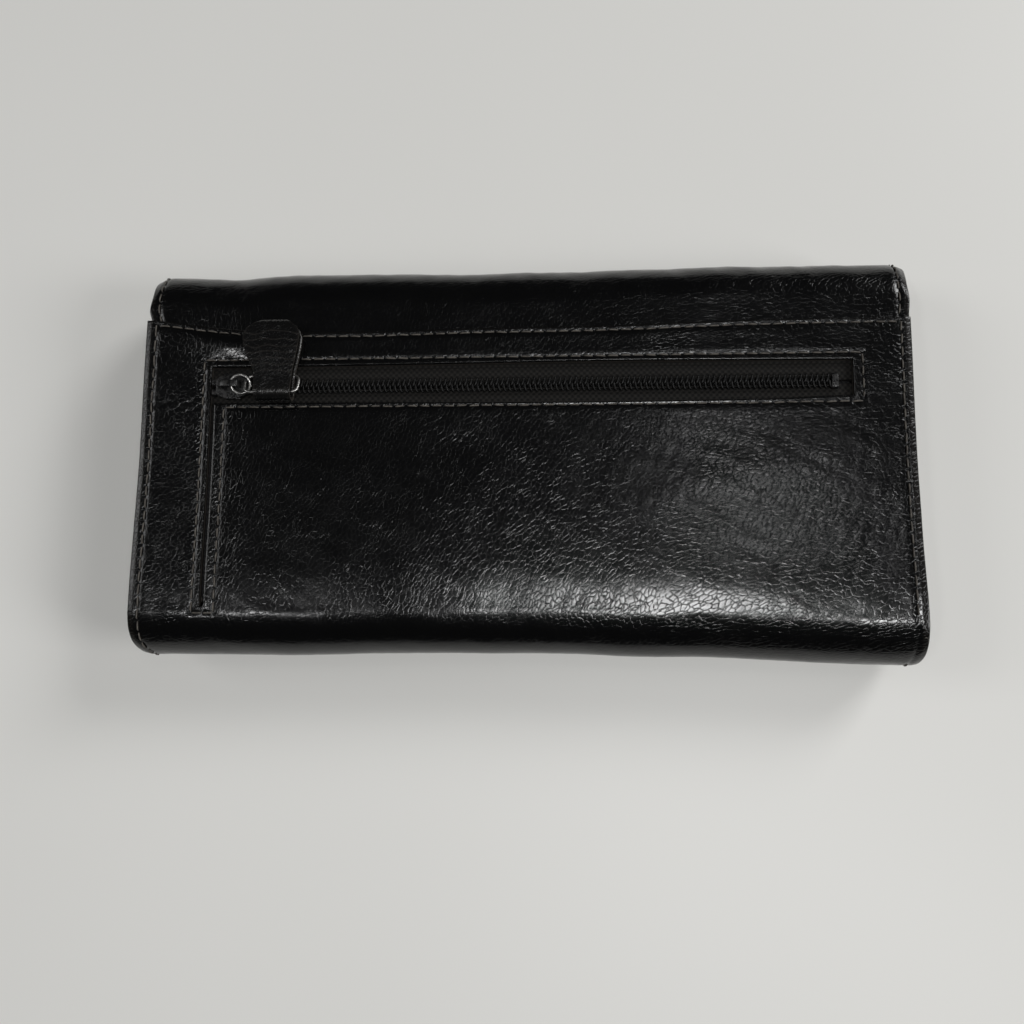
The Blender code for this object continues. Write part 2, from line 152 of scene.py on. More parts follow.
WINDOW_SEAM = [(SEAM_LEFT, SEAM_HIGH), (SEAM_RIGHT, SEAM_HIGH), (SEAM_RIGHT, SEAM_LOW),
               (SLIT_SEAM, SEAM_LOW), (SLIT_SEAM, SLIT_SEAM_END), (SEAM_LEFT, SLIT_SEAM_END),
               (SEAM_LEFT, SEAM_HIGH)]
TOP_SEAM = [(-CROSS_SEAM_END, TOP_SEAM_V), (CROSS_SEAM_END, TOP_SEAM_V)]
LEFT_SEAM = [(-SIDE_SEAM, SIDE_SEAM_TOP), (-SIDE_SEAM, FRONT_SEAM_V)]
RIGHT_SEAM = [(SIDE_SEAM, SIDE_SEAM_TOP), (SIDE_SEAM, FRONT_SEAM_V)]
FRONT_SEAM = [(-CROSS_SEAM_END, FRONT_SEAM_V), (CROSS_SEAM_END, FRONT_SEAM_V)]

# Slow bends of the worn edges along X: size, centre and reach of each.
TOP_EDGE_BENDS = ((-1.75, -42.0, 38.0), (-1.0, 18.0, 30.0), (2.4, -95.0, 16.0))
WINDOW_LOW_BENDS = ((-0.5, 15.0, 40.0),)
WINDOW_TOP_BENDS = ((0.5, 19.0, 40.0),)
FOLD_BENDS = ((-1.2, -57.0, 20.0), (-0.6, 29.0, 12.0))
ROLL_BENDS = ((-0.5, -73.0, 9.0), (0.35, -50.0, 16.0), (-0.3, 2.0, 26.0), (0.35, 48.0, 30.0))


# ---------------------------------------------------------------- small maths

def smooth(start, end, value):
    """Step from 0 at start to 1 at end, level at both."""
    t = np.clip((value - start) / (end - start), 0.0, 1.0)
    return t * t * (3.0 - 2.0 * t)


def bell(value, half):
    """Soft bump of height 1 round zero."""
    return np.exp(-(value / half) ** 2)


def bends(x, base, marks):
    """A base value bent by soft bumps along X."""
    return sum((size * bell(x - centre, reach) for size, centre, reach in marks), base)


def unit(vectors):
    return vectors / np.maximum(np.linalg.norm(vectors, axis=-1, keepdims=True), 1e-9)


def waves(x, v, seed, length):
    """Irregular swell between about -1 and 1."""
    draw = np.random.default_rng(seed)
    total = 0.0
    for angle, phase, rate in zip(draw.uniform(0, math.pi, 8), draw.uniform(0, TAU, 8),
                                  draw.uniform(0.6, 1.7, 8)):
        along = x * math.cos(angle) + v * math.sin(angle)
        total = total + np.sin(TAU * rate / length * along + phase)
    return total / 3.2


def spaced(low, high, step, near=()):
    """Grid lines from low to high, closer together beside the positions in near."""
    offsets = (0.15, 0.35, 0.6, 0.9, 1.3)
    wanted = [low, high] + list(near)
    wanted += [edge + side * d for d in offsets for edge in list(near) + [low, high]
               for side in (-1, 1)]
    wanted += list(np.arange(low + step, high, step))
    kept = []
    for line in wanted:
        if low <= line <= high and all(abs(line - k) > 0.12 for k in kept):
            kept.append(line)
    return np.array(sorted(kept))


def segments(path):
    """Start, direction, length and run-up of each straight part of a path."""
    run = 0.0
    for (x0, v0), (x1, v1) in zip(path, path[1:]):
        length = math.hypot(x1 - x0, v1 - v0)
        yield (x0, v0), ((x1 - x0) / length, (v1 - v0) / length), length, run
        run += length


def seam_relief(x, v, paths, depth, puff):
    """Leather pulled down under each stitch and swelling beside the seam."""
    groove, rise = 0.0, 0.0
    for path in paths:
        for (x0, v0), (dx, dv), length, run in segments(path):
            along = np.clip((x - x0) * dx + (v - v0) * dv, 0.0, length)
            away = np.hypot(x - x0 - along * dx, v - v0 - along * dv)
            pull = 0.72 + 0.28 * np.cos(TAU * (run + along) / PITCH)
            groove = np.maximum(groove, pull * bell(away, 0.55))
            rise = np.maximum(rise, bell(away - 1.5, 0.8))
    return puff * rise - depth * groove


def box_distance(x, v, box):
    """Distance outside a box given as left, low, right and top."""
    dx = np.maximum(np.maximum(box[0] - x, x - box[2]), 0.0)
    dv = np.maximum(np.maximum(box[1] - v, v - box[3]), 0.0)
    return np.hypot(dx, dv)


def cut_distance(x, v):
    return np.minimum(box_distance(x, v, WINDOW), box_distance(x, v, SLIT))


def rounding(distance, radius=0.45):
    """How far a cut edge falls away within its radius."""
    inward = np.clip(radius - distance, 0.0, radius)
    return radius - np.sqrt(radius ** 2 - inward ** 2)


# ---------------------------------------------------------------- surfaces

def shell_profile(v):
    """Y, Z and outward direction along the outer leather, v falling from the top edge."""
    angle = np.clip((FOLD_Y - v) / FOLD_R, 0.0, math.pi)
    y = np.where(v > FOLD_Y, v, FOLD_Y - FOLD_R * np.sin(angle)) + np.maximum(FOLD_END - v, 0.0)
    return y, FOLD_Z + FOLD_R * np.cos(angle), -np.sin(angle), np.cos(angle)


def turned_axes(x, v, centre, degrees):
    """Distances from a centre along and across a direction."""
    cos, sin = math.cos(math.radians(degrees)), math.sin(math.radians(degrees))
    x, v = x - centre[0], v - centre[1]
    return x * cos + v * sin, v * cos - x * sin


def left_creases(x, v):
    """Slanted creases pressed into the left end beside the window."""
    _, across = turned_axes(x, v, (-86.0, 11.0), 27.0)
    ripple = 0.13 * np.sin(TAU * across / 2.1 + 0.6 * waves(x, v, 9, 6.0))
    return ripple * bell(x + 84.5, 4.5) * bell(v - 11.0, 6.5)


def soft_swelling(x, v):
    """Low slanted swelling right of the middle."""
    along, across = turned_axes(x, v, (48.0, -9.0), 13.0)
    return 0.20 * bell(across, 7.0) * bell(along, 26.0)


def shell_height(x, v):
    """Height of the outer leather over its profile."""
    back = smooth(-76.0, -62.0, v)
    free = smooth(9.5, 0.0, v)
    cut = cut_distance(x, v)
    h = seam_relief(x, v, SHELL_SEAMS, 0.17, 0.03)
    # Broad, middle and small swells, stronger where the panel hangs free.
    calm = 1.0 - 0.7 * bell(x - 52.0, 38.0)
    h += back * (0.08 + 0.09 * free) * calm * waves(x, v, 3, 62.0)
    h += back * (0.015 + 0.015 * free) * calm * waves(x, v, 5, 15.0)
    h += back * (0.008 + 0.010 * free) * waves(x, v, 8, 5.2)
    h += left_creases(x, v)
    h += 0.90 * bell(x + 72.5, 7.5) * bell(v - 27.2, 2.6)  # puff above the slider
    h += soft_swelling(x, v)
    # Slack above the bottom fold, deeper on the right.
    sunk = (0.3 + 0.55 * smooth(-50.0, 0.0, x)) * back
    h -= sunk * bell(v + 40.5 + 3.5 * smooth(10.0, 85.0, x), 7.0)
    # Raised lips of the window and the slit, then the slightly uneven front.
    lip = 0.14 * bell(x + 74.9, 0.6) * smooth(10.0, 6.0, v) * smooth(-38.6, -36.4, v)
    h += 0.02 * bell(cut - 0.9, 0.6) + lip
    h -= (1.0 - back) * (0.04 + 0.04 * waves(x, v, 6, 40.0))
    edge = np.minimum(np.minimum(HALF - np.abs(x), BACK_TOP - v), v - FRONT_END)
    h -= rounding(edge, 0.4) + rounding(cut, 0.4)
    return h - 0.25 * smooth(92.0, HALF, np.abs(x)) * back  # sides pressed down


def shell_shift(x, v):
    """Sideways drift of the leather: worn corners, slack fold, uneven edges."""
    fold = smooth(-20.0, -46.0, v) * smooth(-84.0, -66.0, v)
    dy = smooth(22.0, 31.0, v) * bends(x, 0.35, TOP_EDGE_BENDS)
    dy = dy + bell(v - WINDOW[1], 0.7) * (bends(x, 0.2, WINDOW_LOW_BENDS)
                                          + 0.6 * smooth(60.0, WINDOW[2], x))
    dy = dy + bell(v - WINDOW[3], 0.7) * bends(x, -0.1, WINDOW_TOP_BENDS)
    dy = dy + fold * (bends(x, 0.55, FOLD_BENDS)
                      - 2.2 * smooth(25.0, 93.0, x) - 0.7 * smooth(-60.0, -93.0, x))
    left, right = smooth(-84.0, -93.0, x), smooth(84.0, 93.0, x)
    low = smooth(24.0, -40.0, v)
    dx = right * (0.25 * low - 0.8 + 0.9 * fold - 0.9 * bell(v + 55.0, 5.0))
    dx = dx - left * (0.35 + 0.3 * fold - 1.7 * bell(v + 55.0, 6.0))
    dx = dx + (right - left) * 0.2 * waves(v, v, 21, 50.0)
    return dx, dy


def flap_profile(radius):
    """Y, Z and outward direction along the flap, v rising from the leather's sewn edge."""
    def profile(v):
        angle = np.clip((v - ANCHOR) / FLAP_R, 0.0, math.pi)
        y = FLAP_Y + np.minimum(v - ANCHOR, 0.0) + radius * np.sin(angle) \
            - np.maximum(v - ROLL_END, 0.0)
        return y, FLAP_R + radius * np.cos(angle), np.sin(angle), np.cos(angle)
    return profile


def flap_half(v):
    """Half the flap's width, drawn in round its free corners."""
    rest = np.clip(CORNER - (FLAP_END - v), 0.0, CORNER)
    return FLAP_HALF - CORNER + np.sqrt(CORNER ** 2 - rest ** 2)


def flap_height(x, v):
    """Height of the flap leather: dented fold, seams, and a flat part clear of the table."""
    roll = smooth(8.0, 14.0, v) * smooth(42.0, 33.0, v)
    flat = smooth(36.0, 44.0, v)
    h = roll * bends(x, 0.0, ROLL_BENDS)
    h += roll * (0.14 * waves(x, v, 11, 34.0) + 0.05 * waves(x, v, 12, 8.0))
    h += seam_relief(x, v, FLAP_SEAMS, 0.26, 0.05 * (1.0 - flat))
    h -= flat * (0.20 + 0.05 * waves(x, v, 13, 36.0) + 0.015 * waves(x, v, 14, 7.0))
    h -= roll * 0.9 * smooth(89.5, FLAP_HALF, np.abs(x)) ** 2
    edge = np.minimum(flap_half(v) - np.abs(x), np.minimum(FLAP_END - v, v))
    return h - rounding(edge, 0.4)


def flap_shift(x, v):
    """Ends of the flap's fold spread outward, more on the left."""
    roll = smooth(4.0, 9.0, v) * smooth(42.0, 33.0, v)
    side = smooth(82.0, FLAP_HALF, np.abs(x)) * np.sign(x)
    return side * roll * (0.6 + 0.2 * waves(v, v, 31, 30.0) + 0.9 * (x < 0.0)), 0.0 * v


def still(x, v):
    """No sideways drift."""
    return 0.0 * x, 0.0 * v


class Surface:
    """A profile swept along X with a height field: its points and its normals."""

    def __init__(self, profile, height, shift=still):
        self.profile, self.height, self.shift = profile, height, shift

    def at(self, x, v, depth=0.0):
        x, v = np.broadcast_arrays(np.asarray(x, float), np.asarray(v, float))
        y, z, ny, nz = self.profile(v)
        dx, dy = self.shift(x, v)
        h = self.height(x, v) - depth
        return np.stack([x + dx, y + dy + h * ny, z + h * nz], axis=-1)

    def normal(self, x, v):
        step = 0.05
        across = self.at(x + step, v) - self.at(x - step, v)
        along = self.at(x, v + step) - self.at(x, v - step)
        return unit(np.cross(across, along))


def level(z):
    """Profile of a flat sheet whose outer face looks up at height z."""
    def profile(v):
        return v, z + 0.0 * v, 0.0 * v, 1.0 + 0.0 * v
    return profile


def swell(size, seed, length):
    """Height field of one irregular swell."""
    def height(x, v):
        return size * waves(x, v, seed, length)
    return height


def inner_fold(radius, centre_z):
    """Profile of the lining round the bottom fold."""
    def profile(v):
        angle = v / radius
        return (FOLD_Y - radius * np.sin(angle), centre_z + radius * np.cos(angle),
                -np.sin(angle), np.cos(angle))
    return profile


# ---------------------------------------------------------------- meshes

def piece(name, points, groups, material, uv=None, wear_and_highlight=None, sharp=42.0, rim=None):
    """Mesh object from points in millimetres and groups of faces."""
    faces = [face for group in groups for face in np.asarray(group).tolist()]
    mesh = bpy.data.meshes.new(name)
    mesh.from_pydata((np.asarray(points) * MM).tolist(), [], faces)
    mesh.update()
    uv = np.asarray(points)[:, :2] if uv is None else uv
    corners = np.empty(len(mesh.loops), int)
    mesh.loops.foreach_get("vertex_index", corners)
    layer = mesh.uv_layers.new(name="shape")
    layer.data.foreach_set("uv", np.asarray(uv, float)[corners].ravel())
    if wear_and_highlight is not None:
        worn_and_lit = mesh.attributes.new("wear_and_highlight", "FLOAT", "POINT")
        worn_and_lit.data.foreach_set("value", np.asarray(wear_and_highlight, np.float32))
    mesh.shade_smooth()
    mesh.set_sharp_from_angle(angle=math.radians(sharp))
    mesh.materials.append(material)
    if rim is not None:
        mesh.materials.append(rim[1])
        index = np.zeros(len(mesh.polygons), int)
        index[-rim[0]:] = 1
        mesh.polygons.foreach_set("material_index", index)
    obj = bpy.data.objects.new(name, mesh)
    bpy.context.scene.collection.objects.link(obj)
    return obj


def grid_quads(nx, nv, keep=None):
    """Corners of each grid cell, or only of the cells to keep."""
    index = np.arange(nx * nv).reshape(nx, nv)
    quads = np.stack([index[:-1, :-1], index[1:, :-1], index[1:, 1:], index[:-1, 1:]], axis=-1)
    return quads[keep] if keep is not None else quads.reshape(-1, 4)


def thicken(outer, inner, quads):
    """Closed sheet from an outer face, its inner copy and a rim round every open edge."""
    count = len(outer)
    edges = np.concatenate([quads[:, [i, (i + 1) % 4]] for i in range(4)])
    ordered = np.sort(edges, axis=1)
    _, first, times = np.unique(ordered[:, 0] * count + ordered[:, 1],
                                return_index=True, return_counts=True)
    rim = edges[first[times == 1]]
    sides = np.column_stack([rim[:, 1], rim[:, 0], rim[:, 0] + count, rim[:, 1] + count])
    points = np.concatenate([outer, inner])
    used = np.unique(quads)
    used = np.concatenate([used, used + count])
    lookup = np.full(len(points), -1)
    lookup[used] = np.arange(len(used))
    return points[used], [lookup[quads], lookup[quads[:, ::-1] + count], lookup[sides]], used


def closed_sheet(name, outer, inner, quads, material, uv, wear_and_highlight, rim=None):
    """Thickened sheet as a piece, with a pattern of its own and less wear and painted highlight on
    the inner face.
    """
    points, groups, used = thicken(outer.reshape(-1, 3), inner.reshape(-1, 3), quads)
    uv = np.concatenate([uv, uv + 300.0])[used]
    wear_and_highlight = np.concatenate([wear_and_highlight, wear_and_highlight * 0.3])[used]
    return piece(name, points, groups, material, uv, wear_and_highlight,
                 rim=(len(groups[2]), rim) if rim is not None else None)


def cell_middle(a):
    """Mean of the four corners of each grid cell."""
    return (a[:-1, :-1] + a[1:, :-1] + a[1:, 1:] + a[:-1, 1:]) / 4.0


def skin(name, surface, xs, vs, thickness, material, keep=None, width=None, wear_and_highlight=None,
         rim=None):
    """Sheet of leather or fabric over part of a surface."""
    x, v = np.meshgrid(xs, vs, indexing="ij")
    if width is not None:
        x = x * width(v)
    mask = keep(cell_middle(x), cell_middle(v)) if keep is not None else None
    worn_and_lit = wear_and_highlight(x, v).ravel() if wear_and_highlight is not None else np.zeros(x.size)
    return closed_sheet(name, surface.at(x, v), surface.at(x, v, thickness),
                        grid_quads(len(xs), len(vs), mask), material,
                        np.column_stack([x.ravel(), v.ravel()]), worn_and_lit, rim)


def tubes(paths, ups, radius, sides=6, closed=False):
    """Round wires along paths of equal length, as points, faces and UV."""
    paths = np.asarray(paths, float)
    count, steps, _ = paths.shape
    ahead = np.roll(paths, -1, 1) - np.roll(paths, 1, 1) if closed \
        else np.gradient(paths, axis=1)
    tangent = unit(ahead)
    side = unit(np.cross(np.broadcast_to(ups, paths.shape), tangent))
    up = np.cross(tangent, side)
    turn = np.arange(sides) / sides * TAU
    size = np.broadcast_to(radius, (steps,))[None, :, None, None]
    ring = paths[:, :, None, :] + size * (np.cos(turn)[:, None] * side[:, :, None, :]
                                          + np.sin(turn)[:, None] * up[:, :, None, :])
    index = np.arange(count * steps * sides).reshape(count, steps, sides)
    here = index if closed else index[:, :-1]
    there = np.roll(index, -1, 1) if closed else index[:, 1:]
    quads = np.stack([here, np.roll(here, -1, 2), np.roll(there, -1, 2), there], axis=-1)
    groups = [quads.reshape(-1, 4)]
    if not closed:
        groups += [index[:, 0, ::-1], index[:, -1, :]]
    step = np.linalg.norm(np.diff(paths, axis=1), axis=-1)
    run = np.concatenate([np.zeros((count, 1)), np.cumsum(step, axis=1)], axis=1)
    run = run + np.arange(count)[:, None] * 7.3
    uv = np.stack(np.broadcast_arrays(run[:, :, None], np.arange(sides) / sides), axis=-1)
    return ring.reshape(-1, 3), groups, uv.reshape(-1, 2)


def wire(name, paths, ups, radius, material, sides=6, closed=False):
    """Round wires as one piece."""
    points, groups, uv = tubes(paths, ups, radius, sides, closed)
    return piece(name, points, groups, material, uv, np.zeros(len(points)), sharp=60.0)


def stitches(name, surface, paths, material, seed, skip=None):
    """Separate stitches dipping into their holes along seams drawn on a surface."""
    draw = np.random.default_rng(seed)
    centres, headings = [], []
    for path in paths:
        for start, heading, length, _ in segments(path):
            number = max(1, round(length / PITCH))
            for i in range(number):
                along = (i + 0.5) * length / number
                centres.append((start[0] + heading[0] * along, start[1] + heading[1] * along))
                headings.append(heading)
    centres, headings = np.array(centres), np.array(headings)
    if skip is not None:
        kept = ~skip(centres[:, 0], centres[:, 1])
        centres, headings = centres[kept], headings[kept]
    count = len(centres)
    t = np.linspace(-1.0, 1.0, 9)
    reach = (1.24 + draw.uniform(-0.07, 0.07, count))[:, None] * t
    skew = draw.uniform(-0.09, 0.09, count)[:, None] * t + draw.uniform(-0.05, 0.05, count)[:, None]
    x = centres[:, :1] + headings[:, :1] * reach - headings[:, 1:] * skew
    v = centres[:, 1:] + headings[:, 1:] * reach + headings[:, :1] * skew
    normal = surface.normal(centres[:, 0], centres[:, 1])[:, None, :]
    base = surface.at(centres[:, :1] + 0.0 * x, centres[:, 1:] + 0.0 * v)
    drift = surface.at(x, v) - base
    flat = drift - np.sum(drift * normal, -1, keepdims=True) * normal
    follow = np.sum(drift * normal, -1, keepdims=True) * 0.35
    lift = (0.21 + draw.uniform(-0.03, 0.03, count))[:, None, None] \
        * (1.0 - 1.9 * np.abs(t) ** 5)[None, :, None]
    path = base + flat + (lift + follow) * normal
    radius = THREAD * np.sqrt(np.clip(1.02 - np.abs(t) ** 8, 0.05, 1.0))
    return wire(name, path, np.broadcast_to(normal, path.shape), radius, material)


def prism(name, outline, low, high, facing, material, bevel=0.0, steps=3):
    """Solid with rounded edges from a flat outline. Facing Z: (X, Y). Y: (X, Z). X: (Y, Z)."""
    outline = np.asarray(outline, float)
    area = np.sum(outline[:, 0] * np.roll(outline[:, 1], -1)
                  - outline[:, 1] * np.roll(outline[:, 0], -1))
    if (area < 0) != (facing == "Y"):
        outline = outline[::-1]
    order = {"X": (2, 0, 1), "Y": (0, 2, 1), "Z": (0, 1, 2)}[facing]
    count = len(outline)
    points = []
    for level_at in (low, high):
        flat = np.column_stack([outline, np.full(count, level_at)])
        points.append(flat[:, order])
    ring = np.arange(count)
    sides = np.column_stack([ring, np.roll(ring, -1), np.roll(ring, -1) + count, ring + count])
    obj = piece(name, np.concatenate(points), [sides, [ring[::-1].tolist()],
                                               [(ring + count).tolist()]], material)
    if bevel:
        modifier = obj.modifiers.new("round", "BEVEL")
        modifier.width = bevel * MM
        modifier.segments = steps
        modifier.limit_method = "ANGLE"
        modifier.angle_limit = math.radians(30.0)
        apply_modifiers(obj)
    return obj


def apply_modifiers(obj):
    """Keep the modified mesh as the object's own, with sharp edges where it turns."""
    depsgraph = bpy.context.evaluated_depsgraph_get()
    mesh = bpy.data.meshes.new_from_object(obj.evaluated_get(depsgraph))
    obj.modifiers.clear()
    obj.data = mesh
    mesh.shade_smooth()
    mesh.set_sharp_from_angle(angle=math.radians(38.0))


def turned(name, outline, centre, material, sides=40):
    """Round piece spun about an upright line from a closed outline of radius and height."""
    outline = np.asarray(outline, float)
    turn = np.arange(sides) / sides * TAU
    r, z = outline[:, 0][None], outline[:, 1][None]
    points = np.stack([centre[0] + r * np.cos(turn)[:, None],
                       centre[1] + r * np.sin(turn)[:, None], z + 0.0 * turn[:, None]], -1)
    index = np.arange(sides * len(outline)).reshape(sides, -1)
    nxt = np.roll(index, -1, 0)
    quads = np.stack([index, nxt, np.roll(nxt, -1, 1), np.roll(index, -1, 1)], -1)
    return piece(name, points.reshape(-1, 3), [quads.reshape(-1, 4)], material, sharp=35.0)


def stand_for(obj, slot, *nodes):
    """Hide the CAD nodes that a piece takes the place of. The slot is not used."""
    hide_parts(*nodes)
    return obj


# ---------------------------------------------------------------- materials

class Shader:
    """One procedural material and a short way to add its nodes."""

    def __init__(self, name, **constants):
        self.material = bpy.data.materials.new(name)
        self.material.use_nodes = True
        self.nodes = self.material.node_tree.nodes
        self.links = self.material.node_tree.links
        self.bsdf = self.nodes["Principled BSDF"]
        for key, value in constants.items():
            self.bsdf.inputs[key.replace("_", " ")].default_value = value
        self.uv = self.add("UVMap", uv_map="shape").outputs["UV"]

    def add(self, kind, inputs=None, **settings):
        node = self.nodes.new("ShaderNode" + kind)
        for key, value in settings.items():
            setattr(node, key, value)
        for key, value in (inputs or {}).items():
            if isinstance(value, bpy.types.NodeSocket):
                self.links.new(value, node.inputs[key])
            else:
                node.inputs[key].default_value = value
        return node

    def out(self, kind, output, inputs=None, **settings):
        return self.add(kind, inputs, **settings).outputs[output]

    def math(self, operation, first, second=0.0):
        return self.out("Math", 0, {0: first, 1: second}, operation=operation)

    def times(self, first, second):
        return self.math("MULTIPLY", first, second)

    def plus(self, first, second):
        return self.math("ADD", first, second)

    def ramp(self, value, low, high, start=0.0, end=1.0):
        return self.out("MapRange", 0, {"Value": value, "From Min": low, "From Max": high,
                                        "To Min": start, "To Max": end},
                        interpolation_type="SMOOTHSTEP")

    def stretched(self, along, across, turn=0.0, vector=None):
        """Coordinates that make a pattern longer along a direction given in degrees."""
        return self.out("Mapping", 0, {"Vector": vector or self.uv,
                                       "Scale": (along, across, 1.0),
                                       "Rotation": (0.0, 0.0, math.radians(turn))},
                        vector_type="TEXTURE")

    def noise(self, scale, detail=2.0, vector=None, rough=0.5):
        return self.out("TexNoise", 0, {"Vector": vector or self.uv, "Scale": scale,
                                        "Detail": detail, "Roughness": rough})

    def mix(self, factor, first, second):
        node = self.add("Mix", data_type="RGBA")
        for socket, value in ((node.inputs[0], factor), (node.inputs[6], first),
                              (node.inputs[7], second)):
            if isinstance(value, bpy.types.NodeSocket):
                self.links.new(value, socket)
            else:
                socket.default_value = value if not isinstance(value, tuple) else (*value, 1.0)
        return node.outputs[2]

    def finish(self, colour=None, roughness=None, height=None, deep=0.1):
        if colour is not None:
            self.links.new(colour, self.bsdf.inputs["Base Color"])
        if roughness is not None:
            self.links.new(roughness, self.bsdf.inputs["Roughness"])
        if height is not None:
            bump = self.out("Bump", 0, {"Height": height, "Distance": deep * MM,
                                        "Strength": 1.0})
            self.links.new(bump, self.bsdf.inputs["Normal"])
        return self.material


def leather(name, cell, deep, dark, worn_and_lit, rough, dome=0.35):
    """Pebbled leather: long cells parted by thin creases with painted shade in them, faint pores,
    dull worn edges.
    """
    s = Shader(name, Specular_IOR_Level=0.5)
    drift = s.out("TexNoise", 1, {"Vector": s.uv, "Scale": 0.16, "Detail": 3.0})
    moved = s.out("VectorMath", 0, {0: drift, 1: (0.5, 0.5, 0.5)}, operation="SUBTRACT")
    moved = s.out("VectorMath", 0, {0: moved, "Scale": 3.0}, operation="SCALE")
    moved = s.out("VectorMath", 0, {0: s.uv, 1: moved}, operation="ADD")
    cells = []
    for turn in (62.0, 28.0):
        spot = s.stretched(cell * 1.9, cell, turn, moved)
        cells.append(s.out("TexVoronoi", "Distance", {"Vector": spot, "Scale": 1.0},
                           feature="DISTANCE_TO_EDGE"))
    across = s.add("SeparateXYZ", {0: s.uv}).outputs[0]
    area = s.plus(across, s.times(s.noise(0.03, 1.0), 90.0))
    area = s.math("MAXIMUM", s.ramp(area, 70.0, 90.0), s.ramp(across, -79.5, -77.0, 1.0, 0.0))
    away = s.out("Mix", 0, {0: area, 2: cells[0], 3: cells[1]}, data_type="FLOAT")
    big = s.ramp(away, 0.0, 0.10)
    crown = s.ramp(away, 0.0, 0.5)
    fine = s.out("TexVoronoi", "Distance", {"Vector": moved, "Scale": 2.6 / cell},
                 feature="DISTANCE_TO_EDGE")
    fine = s.ramp(fine, 0.0, 0.3)
    worked = s.math("MAXIMUM", s.ramp(across, -45.0, 25.0, 0.62, 1.0),
                    s.ramp(across, -72.0, -55.0, 1.0, 0.0))
    strength = s.times(s.ramp(s.noise(0.06, 2.0), 0.35, 0.65, 0.75, 1.0), worked)
    broken = s.ramp(s.noise(0.45, 1.0), 0.36, 0.6, 0.75, 1.0)
    creases = s.times(big, broken)
    height = s.times(s.plus(s.times(crown, dome), creases), strength)
    height = s.plus(height, s.times(fine, 0.03))
    height = s.plus(height, s.times(s.noise(3.5, 3.0), 0.015))  # pores
    # Wear channel: real wear, and on the pull tab also a painted highlight along the top of its
    # fold.
    wear_and_highlight = s.out("Attribute", "Fac", attribute_name="wear_and_highlight")
    patch = s.ramp(s.noise(0.9, 4.0), 0.35, 0.65)
    wear_and_highlight = s.times(wear_and_highlight, s.plus(s.times(patch, 0.6), 0.4))
    tone = s.mix(s.noise(0.05, 3.0), dark, tuple(c * 1.7 for c in dark))
    # Painted shade: the crease valleys are painted darker than the cells. Worn parts, and the tab's
    # painted fold highlight, then mix toward the worn colour.
    colour = s.mix(wear_and_highlight, s.mix(s.math("SUBTRACT", 1.0, big), tone,
                               tuple(c * 0.6 for c in dark)), worn_and_lit)
    dull = s.ramp(s.noise(0.11, 3.0), 0.3, 0.7, rough - 0.015, rough + 0.02)
    dull = s.plus(dull, s.times(s.math("SUBTRACT", 1.0, big), 0.06))
    dull = s.plus(dull, s.times(wear_and_highlight, 0.07))
    return s.finish(colour, dull, height, deep)


def cut_edge():
    s = Shader("leather_cut_edge", Specular_IOR_Level=0.3)
    fibre = s.noise(2.2, 5.0, None, 0.65)
    colour = s.mix(s.ramp(fibre, 0.35, 0.7), (0.010, 0.009, 0.008), (0.050, 0.042, 0.034))
    return s.finish(colour, s.ramp(fibre, 0.3, 0.7, 0.6, 0.85), fibre, 0.12)


def fabric(name, thread, dark, light, rough, deep, twill=True):
    """Woven cloth: two sets of threads, stepped into a twill when asked."""
    s = Shader(name, Specular_IOR_Level=0.25)
    parts = s.add("SeparateXYZ", {0: s.uv})
    rate = math.pi / thread
    across = s.math("SINE", s.times(parts.outputs[0], rate))
    along = s.math("SINE", s.times(parts.outputs[1], rate))
    weave = s.times(across, along)
    if twill:
        slope = s.plus(parts.outputs[0], s.times(parts.outputs[1], 0.8))
        weave = s.plus(s.times(weave, 0.5),
                       s.math("SINE", s.times(slope, rate * 0.66)))
    weave = s.ramp(weave, -1.0, 1.0)
    fuzz = s.noise(3.0, 4.0, None, 0.7)
    tone = s.mix(fuzz, dark, light)
    # Painted shade: the low parts of the weave are painted darker.
    colour = s.mix(weave, tuple(c * 0.45 for c in dark), tone)
    height = s.plus(weave, s.times(fuzz, 0.5))
    return s.finish(colour, s.ramp(fuzz, 0.3, 0.7, rough - 0.07, rough + 0.05), height, deep)


def thread_material():
    s = Shader("sewing_thread", Specular_IOR_Level=0.35)
    parts = s.add("SeparateXYZ", {0: s.uv})
    slope = s.plus(s.times(parts.outputs[0], 1.6), parts.outputs[1])
    twist = s.math("SINE", s.times(slope, TAU * 2.0))
    twist = s.ramp(twist, -1.0, 1.0)
    soil = s.ramp(s.noise(0.8, 3.0), 0.35, 0.7)
    tone = s.mix(soil, (0.18, 0.163, 0.14), (0.075, 0.066, 0.057))
    # Painted shade: the grooves between the twisted plies are painted dark.
    colour = s.mix(twist, (0.034, 0.030, 0.026), tone)
    return s.finish(colour, s.ramp(soil, 0.0, 1.0, 0.5, 0.65), twist, 0.05)


def metal(name, bright, dull, rough, metallic=1.0):
    s = Shader(name, Metallic=metallic)
    rub = s.ramp(s.noise(0.9, 5.0, None, 0.65), 0.38, 0.66)
    grain = s.noise(6.0, 3.0, s.stretched(2.5, 0.4))
    return s.finish(s.mix(rub, bright, dull), s.ramp(rub, 0.0, 1.0, rough, rough + 0.18),
                    s.plus(grain, rub), 0.012)


def nylon():
    s = Shader("coil_nylon", Specular_IOR_Level=0.22)
    dust = s.ramp(s.noise(1.3, 4.0, None, 0.65), 0.45, 0.75)
    return s.finish(s.mix(dust, (0.0025, 0.0025, 0.0025), (0.009, 0.0082, 0.0074)),
                    s.ramp(dust, 0.0, 1.0, 0.38, 0.60), dust, 0.01)


def board():
    s = Shader("fibre_board", Specular_IOR_Level=0.2)
    pulp = s.noise(1.4, 6.0, None, 0.7)
    return s.finish(s.mix(pulp, (0.17, 0.16, 0.14), (0.30, 0.28, 0.25)),
                    s.ramp(pulp, 0.3, 0.7, 0.85, 0.95), pulp, 0.03)


